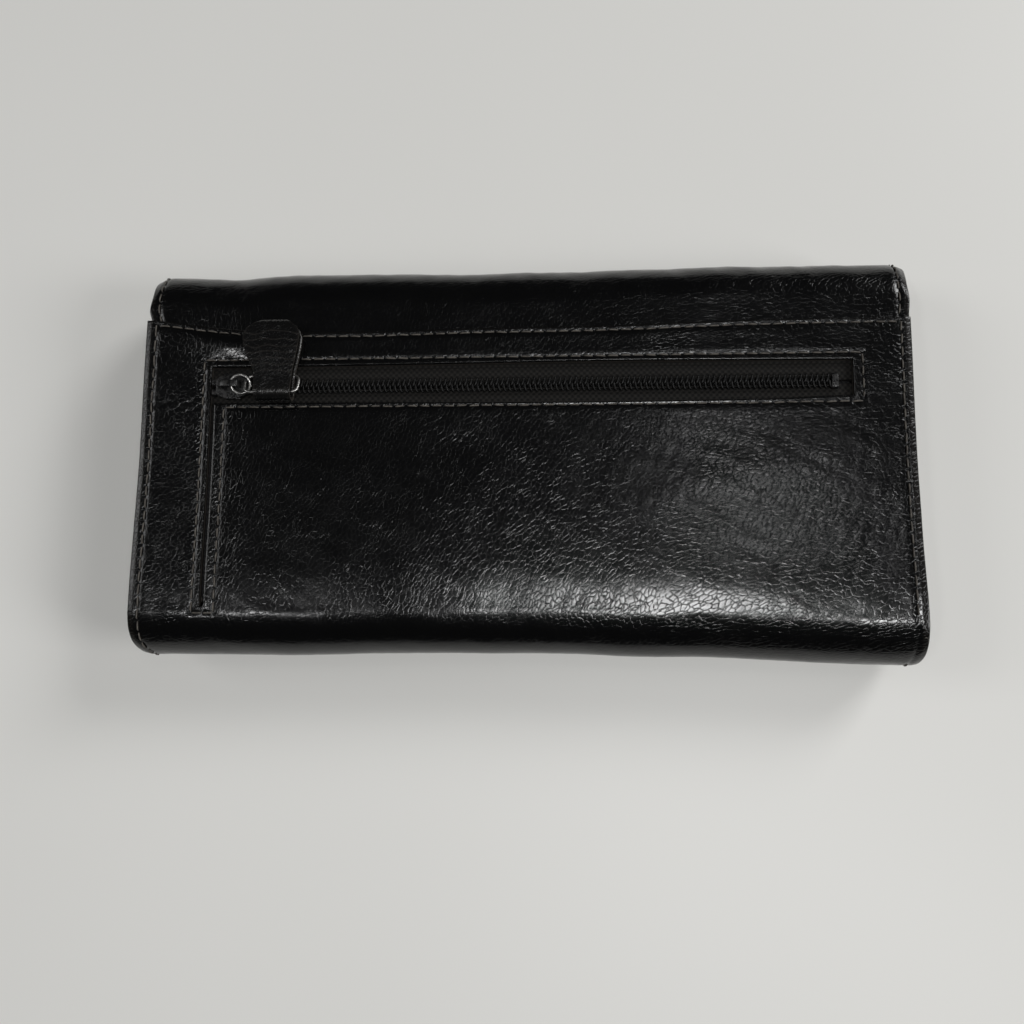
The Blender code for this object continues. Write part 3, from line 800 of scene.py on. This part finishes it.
LEATHER_BLACK = leather("leather_pebbled", 0.95, 0.022, (0.0012, 0.0012, 0.0013),
                        (0.0070, 0.0058, 0.0048), 0.17)
# Tab leather: its worn colour also paints the highlight on the tab's fold.
LEATHER_TAB = leather("leather_rubbed_painted_highlight", 0.7, 0.022, (0.0022, 0.0021, 0.0021),
                      (0.080, 0.072, 0.064), 0.24)
LEATHER_CARD = leather("leather_pocket", 0.85, 0.022, (0.0030, 0.0030, 0.0031),
                       (0.018, 0.016, 0.014), 0.22)
CUT_EDGE = cut_edge()
LINING = fabric("lining_twill", 0.34, (0.010, 0.0095, 0.0105), (0.024, 0.0225, 0.025), 0.74, 0.05)
TAPE = fabric("zip_tape_weave", 0.72, (0.0042, 0.0039, 0.0035), (0.022, 0.0198, 0.0172), 0.86,
              0.12, twill=False)
THREAD_TAUPE = thread_material()
GUNMETAL = metal("gunmetal_wire", (0.50, 0.49, 0.475), (0.24, 0.235, 0.225), 0.28)
LACQUER = metal("black_lacquered_metal", (0.004, 0.004, 0.0043), (0.013, 0.012, 0.0115), 0.24, 0.0)
NYLON = nylon()
BOARD = board()


# ---------------------------------------------------------------- outer leather

FLAP_CURVE = [(FLAP_SEAM - (CORNER - HEM) * (1 - math.cos(a)),
               FLAP_END - CORNER + (CORNER - HEM) * math.sin(a))
              for a in np.linspace(0.0, math.pi / 2, 6)]
FLAP_SIDE = [(FLAP_SEAM, FLAP_SEAM_START), (FLAP_SEAM, SPLIT)]
FLAP_FRONT = [(FLAP_SEAM, SPLIT)] + FLAP_CURVE
FLAP_FRONT += [(-x, v) for x, v in FLAP_FRONT[::-1]]
SHELL_SEAMS = [WINDOW_SEAM, TOP_SEAM, LEFT_SEAM, RIGHT_SEAM, FRONT_SEAM]
FLAP_SEAMS = [FLAP_SIDE, [(-x, v) for x, v in FLAP_SIDE], FLAP_FRONT]
SHELL = Surface(shell_profile, shell_height, shell_shift)
FLAP = Surface(flap_profile(FLAP_R), flap_height, flap_shift)


# Each of these only bakes a sheet's placement into its mesh.

def bend_front(obj):
    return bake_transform(obj)


def bend_roll(obj):
    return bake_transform(obj)


def bend_flap(obj):
    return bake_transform(obj)


def shell_wear(x, v):
    """Wear at the raw sides, the cut lips, the top edge and the ends of the bottom fold."""
    cut = cut_distance(x, v)
    band = smooth(91.7, 92.7, np.abs(x))
    lips = 0.08 * bell(cut, 0.4) + 0.5 * bell(BACK_TOP - v, 0.5)
    fold = 0.25 * bell(v + 55.0, 9.0) * smooth(84.0, 93.0, np.abs(x))
    return np.clip(band + lips + fold, 0.0, 1.0)


def flap_wear(x, v):
    edge = np.minimum(flap_half(v) - np.abs(x), FLAP_END - v)
    return np.clip(smooth(1.7, 0.4, edge), 0.0, 1.0)


def outside_cuts(x, v):
    return cut_distance(x, v) > 1e-6


def build_shell():
    """Outer leather with the window and slit cut out, and its seams."""
    xs = spaced(-HALF, HALF, 0.95, (-SIDE_SEAM, SEAM_LEFT, WINDOW[0], SLIT[2], SLIT_SEAM,
                                    WINDOW[2], SEAM_RIGHT, SIDE_SEAM))
    front = spaced(FRONT_END, FOLD_END - 1.0, 2.0, (FRONT_SEAM_V,))
    back = spaced(FOLD_END, BACK_TOP, 0.95, (SLIT_SEAM_END, SLIT[1], SEAM_LOW, WINDOW[1],
                                             WINDOW[3], SEAM_HIGH, TOP_SEAM_V))
    vs = np.concatenate([front, back])
    obj = skin("outer_leather", SHELL, xs, vs, LEATHER, LEATHER_BLACK, keep=outside_cuts,
               wear_and_highlight=shell_wear, rim=CUT_EDGE)
    stand_for(bend_front(obj), "leather_black", "back_panel", "front_panel")

    def lost(x, v):
        """Stitches worn away at the lower right corner."""
        return (x > 85.0) & (v < -37.0) & (v > -52.0)
    sewn = stitches("stitching_back", SHELL, [WINDOW_SEAM, TOP_SEAM], THREAD_TAUPE, 41)
    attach(sewn, "back")
    sides = stitches("stitching_sides", SHELL, [LEFT_SEAM, RIGHT_SEAM, FRONT_SEAM],
                     THREAD_TAUPE, 42, skip=lost)
    bend_front(sides)


def build_flap():
    """Flap leather and lining, each in a part round the fold and a flat part."""
    def share(v):
        return flap_half(v) / FLAP_HALF

    def lining_share(v):
        return (flap_half(np.minimum(v + 1.2, FLAP_END)) - 1.1) / LINING_HALF
    xs = spaced(-FLAP_HALF, FLAP_HALF, 1.3, (-FLAP_SEAM, FLAP_SEAM))
    vs = spaced(0.0, SPLIT, 0.9)
    roll = skin("flap_leather_roll", FLAP, xs, vs, LEATHER, LEATHER_BLACK, width=share,
                wear_and_highlight=flap_wear, rim=CUT_EDGE)
    stand_for(bend_roll(roll), "leather_black", "flap_anchor", "flap_roll")
    vs = spaced(SPLIT, FLAP_END, 1.6, (FLAP_END - HEM,))
    flat = skin("flap_leather", FLAP, xs, vs, LEATHER, LEATHER_BLACK, width=share,
                wear_and_highlight=flap_wear, rim=CUT_EDGE)
    stand_for(bend_flap(flat), "leather_black", "flap_panel")
    bend_roll(stitches("stitching_roll", FLAP, FLAP_SEAMS[:2], THREAD_TAUPE, 43))
    bend_flap(stitches("stitching_flap", FLAP, [FLAP_FRONT], THREAD_TAUPE, 44))

    lining = Surface(flap_profile(LINING_R), swell(0.05, 51, 22.0))
    xs = spaced(-LINING_HALF, LINING_HALF, 3.0)
    roll = skin("flap_lining_roll", lining, xs, spaced(ANCHOR, SPLIT, 1.6), 0.6, LINING)
    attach(stand_for(roll, "lining_black", "flap_roll_lining"), "flap_roll")
    flat = skin("flap_lining_sheet", lining, xs, spaced(SPLIT, FLAP_END - 1.0, 2.2), 0.6,
                LINING, width=lining_share)
    stand_for(bend_flap(flat), "lining_black", "flap_lining")


# ---------------------------------------------------------------- inner layers

def layer(name, node, body, half, low, high, top, thickness, slot, seed, size=0.07,
          centre=0.0):
    """Flat inner sheet with a slight swell and softened edges."""
    def height(x, v):
        edge = np.minimum(half - np.abs(x - centre), np.minimum(v - low, high - v))
        return size * waves(x, v, seed, 34.0) - rounding(edge, thickness * 0.45)
    obj = skin(name, Surface(level(top), height), spaced(centre - half, centre + half, 4.0),
               spaced(low, high, 3.0), thickness, BOARD if slot == "board_grey" else LINING)
    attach(stand_for(obj, slot, node), body)


def card_pockets(prefix, body, top, seed):
    """Stepped pockets, each with a turned and sewn upper edge."""
    for i, (low, high) in enumerate(CARD_STEPS):
        seam_v = high - CARD_HEM

        def height(x, v, low=low, high=high, i=i, seam_v=seam_v):
            edge = np.minimum(CARD_HALF - np.abs(x), np.minimum(v - low, high - v))
            hem = 0.07 * smooth(3.2, 2.6, high - v)
            return hem + 0.04 * waves(x, v, seed + i, 30.0) - rounding(edge, 0.2) \
                + seam_relief(x, v, [[(-81.0, seam_v), (81.0, seam_v)]], 0.08, 0.0)
        surface = Surface(level(top), height)
        name = "%s_card_pocket_%d" % (prefix, i + 1)
        obj = skin(name + "_leather", surface, spaced(-CARD_HALF, CARD_HALF, 1.5),
                   spaced(low, high, 1.6, (seam_v,)), 0.4, LEATHER_CARD, rim=CUT_EDGE)
        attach(stand_for(obj, "leather_black", name), body)
        sewn = stitches(name + "_stitching", surface, [[(-79.0, seam_v), (79.0, seam_v)]],
                        THREAD_TAUPE, seed + 10 + i)
        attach(sewn, body)


def build_layers():
    """Inner sheets, each with its half width, low and high edge, top face and thickness."""
    cloth, core, low = "lining_black", "board_grey", FOLD_Y + 0.3
    layer("slip_pocket_cloth", "slip_pocket_lining", "back", 78.5, -35.0, 4.4, 21.8, 0.3,
          cloth, 61, 0.05, -6.5)
    layer("zip_pocket_cloth_outer", "zip_pocket_lining_outer", "back", 84.0, -35.5, 10.3,
          21.2, 0.3, cloth, 62, 0.05)
    layer("zip_pocket_cloth_inner", "zip_pocket_lining_inner", "back", 84.0, -35.5, 27.0,
          20.2, 0.3, cloth, 63, 0.05)
    layer("back_board", "back_stiffener", "back", 88.0, -36.5, 30.0, 19.6, 0.8, core, 64, 0.03)
    layer("back_lining_cloth", "back_lining", "back", 92.0, low, 34.5, 18.5, 0.6, cloth, 65)
    layer("front_board", "front_stiffener", "front", 88.0, -36.5, 33.0, 4.7, 0.6, core, 66, 0.03)
    layer("front_lining_cloth", "front_lining", "front", 92.0, low, FRONT_TOP, 5.6, 0.6, cloth,
          67)
    layer("divider_cloth_front", "divider_lining_front", "divider", 90.8, -35.5, 33.5, 11.1,
          0.4, cloth, 68, 0.04)
    layer("divider_core", "divider_board", "divider", 88.0, -34.5, 32.5, 11.8, 0.4, core, 69,
          0.02)
    layer("divider_cloth_back", "divider_lining_back", "divider", 90.8, -35.5, 33.5, 12.5,
          0.4, cloth, 70, 0.04)
    card_pockets("front", "front", 6.3, 71)
    card_pockets("divider", "divider", 13.2, 81)
    radius = 6.75
    fold = Surface(inner_fold(radius, 11.75), swell(0.08, 91, 20.0))
    obj = skin("bottom_lining_cloth", fold, spaced(-92.0, 92.0, 3.5),
               -spaced(0.0, math.pi * radius, 1.4)[::-1], 0.6, LINING)
    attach(stand_for(obj, "lining_black", "bottom_lining"), "back")


def build_gussets():
    """Pleated side walls, softly creased, sewn between the leaves."""
    pleats = np.array([(91.0, 17.5), (87.2, 16.6), (83.2, 15.5), (84.2, 14.7), (91.0, 13.2),
                       (91.9, 12.4), (92.0, 11.6), (91.9, 10.8), (91.0, 10.0), (84.2, 8.7),
                       (83.2, 7.9), (87.2, 7.0), (91.0, 6.05)])
    rows = np.linspace(-37.5, 34.0, 40)
    for side, name in ((-1.0, "left"), (1.0, "right")):
        s = np.linspace(0, len(pleats) - 1, 61)
        x = np.interp(s, range(len(pleats)), pleats[:, 0])
        z = np.interp(s, range(len(pleats)), pleats[:, 1])
        kernel = np.array([1, 2, 3, 2, 1]) / 9.0
        x[2:-2], z[2:-2] = np.convolve(x, kernel, "valid"), np.convolve(z, kernel, "valid")
        slack = 0.35 * waves(rows[:, None] * 1.0, s[None, :] * 2.0, 101, 30.0)
        slack = slack * smooth(0.0, 8.0, s) * smooth(60.0, 52.0, s)
        mesh_x = side * np.minimum(x[None, :] + slack, 92.2)
        points = np.stack([mesh_x, rows[:, None] + 0.0 * mesh_x, z[None, :] + 0.0 * mesh_x], -1)
        normal = unit(np.cross(np.gradient(points, axis=0), np.gradient(points, axis=1)))
        run = np.cumsum(np.concatenate([[0], np.hypot(np.diff(x), np.diff(z))]))
        uv = np.stack(np.broadcast_arrays(rows[:, None], run[None, :]), -1).reshape(-1, 2)
        obj = closed_sheet("gusset_%s_leather" % name, points + 0.25 * normal,
                           points - 0.25 * normal, grid_quads(*points.shape[:2]),
                           LEATHER_CARD, uv, np.zeros(len(uv)), CUT_EDGE)
        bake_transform(obj)
        stand_for(obj, "leather_black", "gusset_" + name)


# ---------------------------------------------------------------- zip

def build_tape(side, name):
    """Woven tape with a cord beside the coil and ribs beyond it."""
    def height(x, v):
        out = side * (v - ZIP_Y)
        cord = 0.14 * bell(out - 2.6, 0.35)
        ribs = 0.10 * np.cos(TAU * out / 0.85) * smooth(3.0, 3.6, out) * smooth(7.0, 6.0, out)
        edge = np.minimum(TAPE_HALF - np.abs(x), np.minimum(out - TAPE_NEAR, TAPE_FAR - out))
        return cord + ribs + 0.03 * waves(x, v, 111, 24.0) - rounding(edge, 0.2)
    near, far = sorted((ZIP_Y + side * TAPE_NEAR, ZIP_Y + side * TAPE_FAR))
    ribbed = np.arange(ZIP_Y + side * 2.0, ZIP_Y + side * 6.4, side * 0.17)
    vs = np.unique(np.concatenate([spaced(near, far, 0.6), ribbed]).round(3))
    obj = skin("tape_" + name, Surface(level(TAPE_TOP), height),
               spaced(-TAPE_HALF, TAPE_HALF, 2.0), vs, 0.5, TAPE)
    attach(stand_for(obj, "tape_black", "zip_tape_" + name), "back")


def build_coil(side, name):
    """Nylon coil, half a pitch off the other side's, and the stitches that hold it."""
    steps = 16
    phase = np.arange(COIL_TEETH * steps + 1) / steps
    swing = TAU * phase
    x = COIL_LEFT + COIL_PITCH * (phase + 0.25 + (0.5 if side < 0 else 0.0)) \
        + side * 0.10 * np.sin(swing)
    reach = 0.66 - 0.95 * np.cos(swing)
    z = 22.86 + 0.32 * np.sin(swing)
    path = np.stack([x, ZIP_Y + side * reach, z], -1)[None]
    obj = wire("coil_" + name, path, np.array([1.0, 0.0, 0.0]), 0.27, NYLON, 7)
    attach(stand_for(obj, "coil_black", "zip_coil_" + name), "back")
    t = np.arange(0, COIL_TEETH * COIL_PITCH, 0.32)
    lift = 23.16 + 0.10 * np.cos(TAU * t / COIL_PITCH)
    sway = ZIP_Y + side * (1.15 + 0.10 * np.sin(TAU * t / COIL_PITCH))
    path = np.stack([COIL_LEFT + 0.3 + t, sway, lift], -1)[None]
    sewn = wire("coil_stitching_" + name, path, UP, 0.13, TAPE)
    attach(sewn, "back")


def stop(name, node, low, high, near, far, chamfer, bevel):
    """Metal stop across the teeth, with its top edges chamfered."""
    side_top = STOP_HIGH - chamfer
    outline = [(near, STOP_LOW), (far, STOP_LOW), (far, side_top), (far - chamfer, STOP_HIGH),
               (near + chamfer, STOP_HIGH), (near, side_top)]
    obj = prism(name, outline, low, high, "X", LACQUER, bevel)
    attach(stand_for(obj, "slider_black", node), "back")


def build_zip():
    """Both tapes and coils, then the top stops and the bottom stop."""
    for side, name in SIDES:
        build_tape(side, name)
        build_coil(side, name)
    for side, name in SIDES:
        near, far = sorted((ZIP_Y + side * 0.35, ZIP_Y + side * 2.2))
        stop("top_stop_" + name, "zip_top_stop_" + name, COIL_LEFT - 1.5, COIL_LEFT - 0.3,
             near, far, 0.3, 0.15)
    stop("bottom_stop", "zip_bottom_stop", COIL_RIGHT + 0.35, COIL_RIGHT + 1.95,
         ZIP_Y - 1.9, ZIP_Y + 1.9, 0.4, 0.2)


def build_slider():
    """Top plate with turned-down flanges, under plate, neck and bridge."""
    def placed(points):
        return [(SLIDER_X + x, other) for x, other in points]
    half = placed([(-4.3, 1.7), (-3.6, 2.5), (-1.6, 3.3), (0.2, 3.3), (2.6, 2.6), (4.0, 2.1),
                   (4.4, 1.6)])
    plan = [(x, ZIP_Y - y) for x, y in half] + [(x, ZIP_Y + y) for x, y in half[::-1]]
    top = prism("slider_plate", plan, 23.72, 24.35, "Z", LACQUER, 0.22, 4)
    stand_for(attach(top, "slider"), "slider_black", "slider_body")
    under = prism("slider_under_plate", plan, 20.6, 21.2, "Z", LACQUER, 0.18)
    web = placed([(-3.4, 21.0), (3.2, 21.0), (3.2, 23.9), (-3.4, 23.9)])
    neck = prism("slider_neck", web, ZIP_Y - 0.25, ZIP_Y + 0.25, "Y", LACQUER, 0.1)
    arch = placed([(-3.2, 24.1), (-3.2, 25.9), (-2.7, 26.7), (-1.8, 27.1), (0.9, 27.1),
                   (1.8, 26.8), (2.2, 26.0), (2.2, 24.1), (1.6, 24.1), (1.6, 25.9),
                   (1.3, 26.35), (0.7, 26.55), (-1.6, 26.55), (-2.3, 26.3), (-2.6, 25.8),
                   (-2.6, 24.1)])
    bridge = prism("slider_bridge", arch, ZIP_Y - 0.8, ZIP_Y + 0.8, "Y", LACQUER, 0.16)
    pieces = [under, neck, bridge]
    lip = placed([(-2.2, 23.95), (2.0, 23.95), (1.7, 23.1), (-1.9, 23.1)])
    for side, name in ((-1.0, "slider_flange_1"), (1.0, "slider_flange_2")):
        low, high = sorted((ZIP_Y + side * 2.75, ZIP_Y + side * 3.25))
        pieces.append(prism(name, lip, low, high, "Y", LACQUER, 0.15))
    for obj in pieces:
        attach(obj, "slider")


def tilted(points, roll):
    """Flat points turned about the wallet's long axis and set at the pull's height."""
    angle = math.radians(roll)
    x, v = points[:, 0], points[:, 1]
    path = np.stack([x, ZIP_Y + v * math.cos(angle), PULL_Z + v * math.sin(angle)], -1)
    return path[None], np.array([0.0, -math.sin(angle), math.cos(angle)])


def build_rings():
    """Oval ring on the slider's bridge and the rounded wire loop hanging on it."""
    turn = np.arange(48) / 48 * TAU
    oval = np.stack([RING_X + RING_HALF[0] * np.cos(turn), RING_HALF[1] * np.sin(turn)], -1)
    path, up = tilted(oval, RING_ROLL)
    ring = wire("pull_ring_wire", path, up, WIRE_R, GUNMETAL, 14, closed=True)
    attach(stand_for(ring, "gunmetal", "pull_ring"), "ring")
    outline = []
    right, left = LOOP_RIGHT - LOOP_CORNER, LOOP_LEFT + LOOP_CORNER
    half = LOOP_HALF - LOOP_CORNER
    for x, y, start in ((right, half, 0), (left, half, 90), (left, -half, 180),
                        (right, -half, 270)):
        for a in np.radians(start + np.linspace(0, 90, 9)):
            outline.append((x + LOOP_CORNER * math.cos(a), y + LOOP_CORNER * math.sin(a)))
    path, up = tilted(np.array(outline), LOOP_ROLL)
    loop = wire("pull_loop_wire", path, up, WIRE_R, GUNMETAL, 14, closed=True)
    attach(stand_for(loop, "gunmetal", "pull_loop"), "loop")


def run_along(path):
    """Distance travelled at each point of a path."""
    return np.concatenate([[0], np.cumsum(np.linalg.norm(np.diff(path, axis=0), axis=1))])


def tab_path():
    """Y and Z along the folded strip: lower layer, round the bar, upper layer."""
    angle = math.radians(LOOP_ROLL)
    bar_y = ZIP_Y - LOOP_HALF * math.cos(angle)
    bar_z = PULL_Z - LOOP_HALF * math.sin(angle)
    far = np.concatenate([[0.0, 0.08, 0.25, 0.5, 0.85], np.arange(1.2, TAB_SEWN, 0.17),
                          [TAB_SEWN]])
    stations = TAB_REACH - far

    def layer_path(sign):
        drop = 0.9 + 0.52 * np.exp(-(stations / 2.3) ** 2) - rounding(far, 0.85)
        middle = bar_z - 1.75 * smooth(2.0, 22.0, stations) - 0.10 * np.sin(stations / 2.4)
        return np.stack([bar_y + stations, middle + sign * drop], -1)
    lower, upper = layer_path(-1.0), layer_path(1.0)[::-1]
    round_bar = np.stack([bar_y + TAB_EYE * np.cos(TAB_TURN),
                          bar_z + TAB_EYE * np.sin(TAB_TURN)], -1)
    return np.concatenate([lower, round_bar, upper]), len(lower)


def sew_tab(outer, inset, share, first):
    """Stitches along both long edges of the upper layer."""
    dashes = []
    for column in (share <= 0.5, share > 0.5):
        picks = np.where(column)[0]
        seam = np.array([outer[picks[np.argmin(np.abs(inset[picks, j] - TAB_SEAM))], j]
                         for j in range(first, outer.shape[1] - 8)])
        travelled = run_along(seam)
        for middle in np.arange(0.9, travelled[-1] - 0.8, 1.9):
            at = middle + np.linspace(-0.75, 0.75, 7)
            dash = np.stack([np.interp(at, travelled, seam[:, k]) for k in range(3)], -1)
            dash[:, 2] += 0.20 * (1 - 2.0 * np.abs(np.linspace(-1, 1, 7)) ** 4)
            dashes.append(dash)
    sewn = wire("pull_tab_stitching", np.array(dashes), UP, 0.15, THREAD_TAUPE)
    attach(sewn, "tab")


def build_tab():
    """Strip of leather folded round the near bar of the loop and sewn to itself."""
    path, layer_length = tab_path()
    tangent = unit(np.gradient(path, axis=0))
    outward = np.stack([tangent[:, 1], -tangent[:, 0]], -1)
    run = run_along(path)
    ahead = path[:, 0] - ZIP_Y
    left = np.interp(ahead, TAB_KNOTS, TAB_LEFT) + TAB_X
    right = np.interp(ahead, TAB_KNOTS, TAB_RIGHT) + TAB_X
    share = np.concatenate([[0, 0.012, 0.03, 0.055], np.linspace(0.085, 0.915, 46),
                            [0.945, 0.97, 0.988, 1]])
    x = left[None, :] + (right - left)[None, :] * share[:, None]
    inset = np.minimum(share, 1.0 - share)[:, None] * (right - left)[None, :]
    top = (np.arange(len(path)) >= layer_length + 8).astype(float)[None, :]
    a = ahead[None, :] + 0.35 * waves(x, x, 121, 9.0)
    h = -rounding(inset, 0.4)
    rubbed = 0.0 * x
    for at, deep in TAB_GROOVES:
        off = a - at - 0.25 * waves(x, x, int(at * 10), 7.0)
        h = h - deep * bell(off, 0.16)
        rubbed = rubbed + bell(off, 0.12)
    h = h + 0.05 * waves(x, 0 * x + run[None, :], 123, 4.0) + 0.16 * bell(inset - 0.55, 0.35)
    h = h - 0.20 * bell(inset - TAB_SEAM, 0.28) * smooth(2.0, 4.0, ahead)[None, :]
    h = h * (0.35 + 0.65 * top)
    outer = np.stack([x, path[None, :, 0] + h * outward[None, :, 0],
                      path[None, :, 1] + h * outward[None, :, 1]], -1)
    back = path - TAB_THICKNESS * outward
    inner = np.stack([x, back[:, 0][None] + 0 * x, back[:, 1][None] + 0 * x], -1)
    uv = np.stack([x, run[None, :] + 0 * x], -1).reshape(-1, 2)
    # Worn edges and rubbed creases, plus a painted highlight along the top of the fold round the
    # bar.
    wear_and_highlight = 0.25 * bell(inset, 0.5) + top * (0.9 * rubbed + 0.5 * bell(ahead[None, :] + 2.45, 0.4))
    obj = closed_sheet("pull_tab_leather", outer, inner, grid_quads(*x.shape), LEATHER_TAB, uv,
                       np.clip(wear_and_highlight, 0.0, 1.0).ravel(), CUT_EDGE)
    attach(stand_for(obj, "leather_black", "pull_tab"), "tab")
    sew_tab(outer, inset, share, layer_length + len(TAB_TURN) + 6)


# ---------------------------------------------------------------- small pieces

def build_stud():
    """Press stud: socket on the flap, stud and washer on the front leaf."""
    centre = (0.0, STUD_Y)
    socket = [(2.4, 1.45), (4.9, 1.45), (5.0, 1.7), (4.95, 2.2), (4.6, 2.32), (4.1, 2.2),
              (3.6, 2.28), (3.0, 2.32), (2.6, 2.2), (2.4, 1.9)]
    obj = turned("snap_socket_ring", socket, centre, GUNMETAL)
    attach(stand_for(obj, "gunmetal", "snap_socket"), "flap")
    stud = [(0.02, 1.62), (1.2, 1.64), (1.75, 1.75), (1.9, 1.95), (1.7, 2.2), (1.75, 2.45),
            (3.7, 2.5), (4.1, 2.62), (4.2, 2.85), (4.2, 3.75), (0.02, 3.75)]
    obj = turned("snap_stud_cap", stud, centre, GUNMETAL)
    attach(stand_for(obj, "gunmetal", "snap_stud"), "front")
    washer = [(0.8, 4.1), (4.0, 4.1), (4.2, 4.3), (4.0, 4.6), (0.8, 4.6)]
    obj = turned("snap_washer_ring", washer, centre, GUNMETAL)
    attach(stand_for(obj, "gunmetal", "snap_stud_washer"), "front")


def build_frayed_threads():
    """Loose ends of thread and fibre at the lower corners of the side seams."""
    draw = np.random.default_rng(131)
    t = np.linspace(0.0, 1.0, 14)
    paths = []
    for side, middle_y, count in ((1.0, -35.5, 9), (1.0, -42.0, 3), (-1.0, -38.5, 7)):
        for _ in range(count):
            length = draw.uniform(0.8, 2.4)
            start = np.array([side * 92.7, middle_y + draw.uniform(-2.2, 2.2),
                              22.9 - draw.uniform(0.0, 1.2)])
            swing = draw.uniform(-1.0, 1.0, 3)
            curl = draw.uniform(2.0, 7.0)
            path = start + np.stack([side * length * 0.6 * t,
                                     swing[0] * length * t + 0.3 * np.sin(curl * t),
                                     -0.4 * t * length + 0.3 * swing[1] * np.sin(curl * t)], -1)
            paths.append(path)
    obj = wire("frayed_thread_ends", np.array(paths), UP, 0.085 * (1.0 - 0.6 * t),
               THREAD_TAUPE, 5)
    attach(obj, "back")


# ---------------------------------------------------------------- stage

def build_floor():
    s = Shader("pale_table", Specular_IOR_Level=0.35)
    stain = s.noise(0.004, 4.0)
    colour = s.mix(stain, (0.77, 0.765, 0.735), (0.82, 0.815, 0.785))
    material = s.finish(colour, s.ramp(stain, 0.3, 0.7, 0.34, 0.42))
    size = 1500.0
    corners = [(-size, -size, 0.0), (size, -size, 0.0), (size, size, 0.0), (-size, size, 0.0)]
    piece("table", corners, [[[0, 1, 2, 3]]], material)


def area_light(name, place, aim, size, power, turn=0.0):
    """Rectangular lamp, placed and aimed in metres, turned about its own axis in degrees."""
    data = bpy.data.lights.new(name, "AREA")
    data.shape = "RECTANGLE"
    data.size, data.size_y = size
    data.energy = power
    obj = bpy.data.objects.new(name, data)
    obj.location = place
    obj.rotation_euler = (Vector(aim) - Vector(place)).to_track_quat("-Z", "Y").to_euler()
    obj.rotation_euler.rotate_axis("Z", math.radians(turn))
    bpy.context.scene.collection.objects.link(obj)


def build_lights():
    """Small keys for the highlights, large fills from the sides and a dim surround."""
    area_light("key_near", (0.14, -0.25, 1.40), (0.04, -0.03, 0.0), (0.32, 0.18), 4.2)
    area_light("key_right", (0.50, -0.47, 1.38), (0.06, -0.03, 0.0), (0.16, 0.12), 2.4)
    area_light("key_left", (-0.54, -0.22, 1.40), (-0.06, -0.03, 0.0), (0.10, 0.10), 1.0)
    area_light("sheen_right", (0.30, 0.27, 1.60), (0.06, -0.01, 0.0), (0.26, 0.05), 0.42, 16.0)
    area_light("fill_top_right", (1.50, 1.30, 1.20), (0.0, 0.0, 0.0), (0.8, 0.8), 20.0)
    area_light("fill_right", (1.90, -0.50, 1.10), (0.0, 0.0, 0.0), (0.8, 0.8), 16.0)
    area_light("fill_left", (-1.60, 0.30, 1.30), (0.0, 0.0, 0.0), (0.8, 0.8), 5.0)
    world = bpy.data.worlds.new("soft_surround")
    world.use_nodes = True
    world.node_tree.nodes["Background"].inputs[0].default_value = (0.95, 0.97, 1.0, 1.0)
    world.node_tree.nodes["Background"].inputs[1].default_value = 0.03
    bpy.context.scene.world = world
    bpy.context.scene.view_settings.view_transform = "Standard"


def build_camera():
    data = bpy.data.cameras.new("camera")
    data.sensor_width = 36.0
    data.lens = 36.1
    data.clip_start = 0.01
    obj = bpy.data.objects.new("camera", data)
    obj.location = (0.0166, -0.0535, 0.2634)
    obj.rotation_euler = (0.1587, 0.0741, 0.0098)
    bpy.context.scene.collection.objects.link(obj)
    bpy.context.scene.camera = obj


build_shell()
build_flap()
build_layers()
build_gussets()
build_zip()
build_slider()
build_rings()
build_tab()
build_stud()
build_frayed_threads()
build_floor()
build_lights()
build_camera()
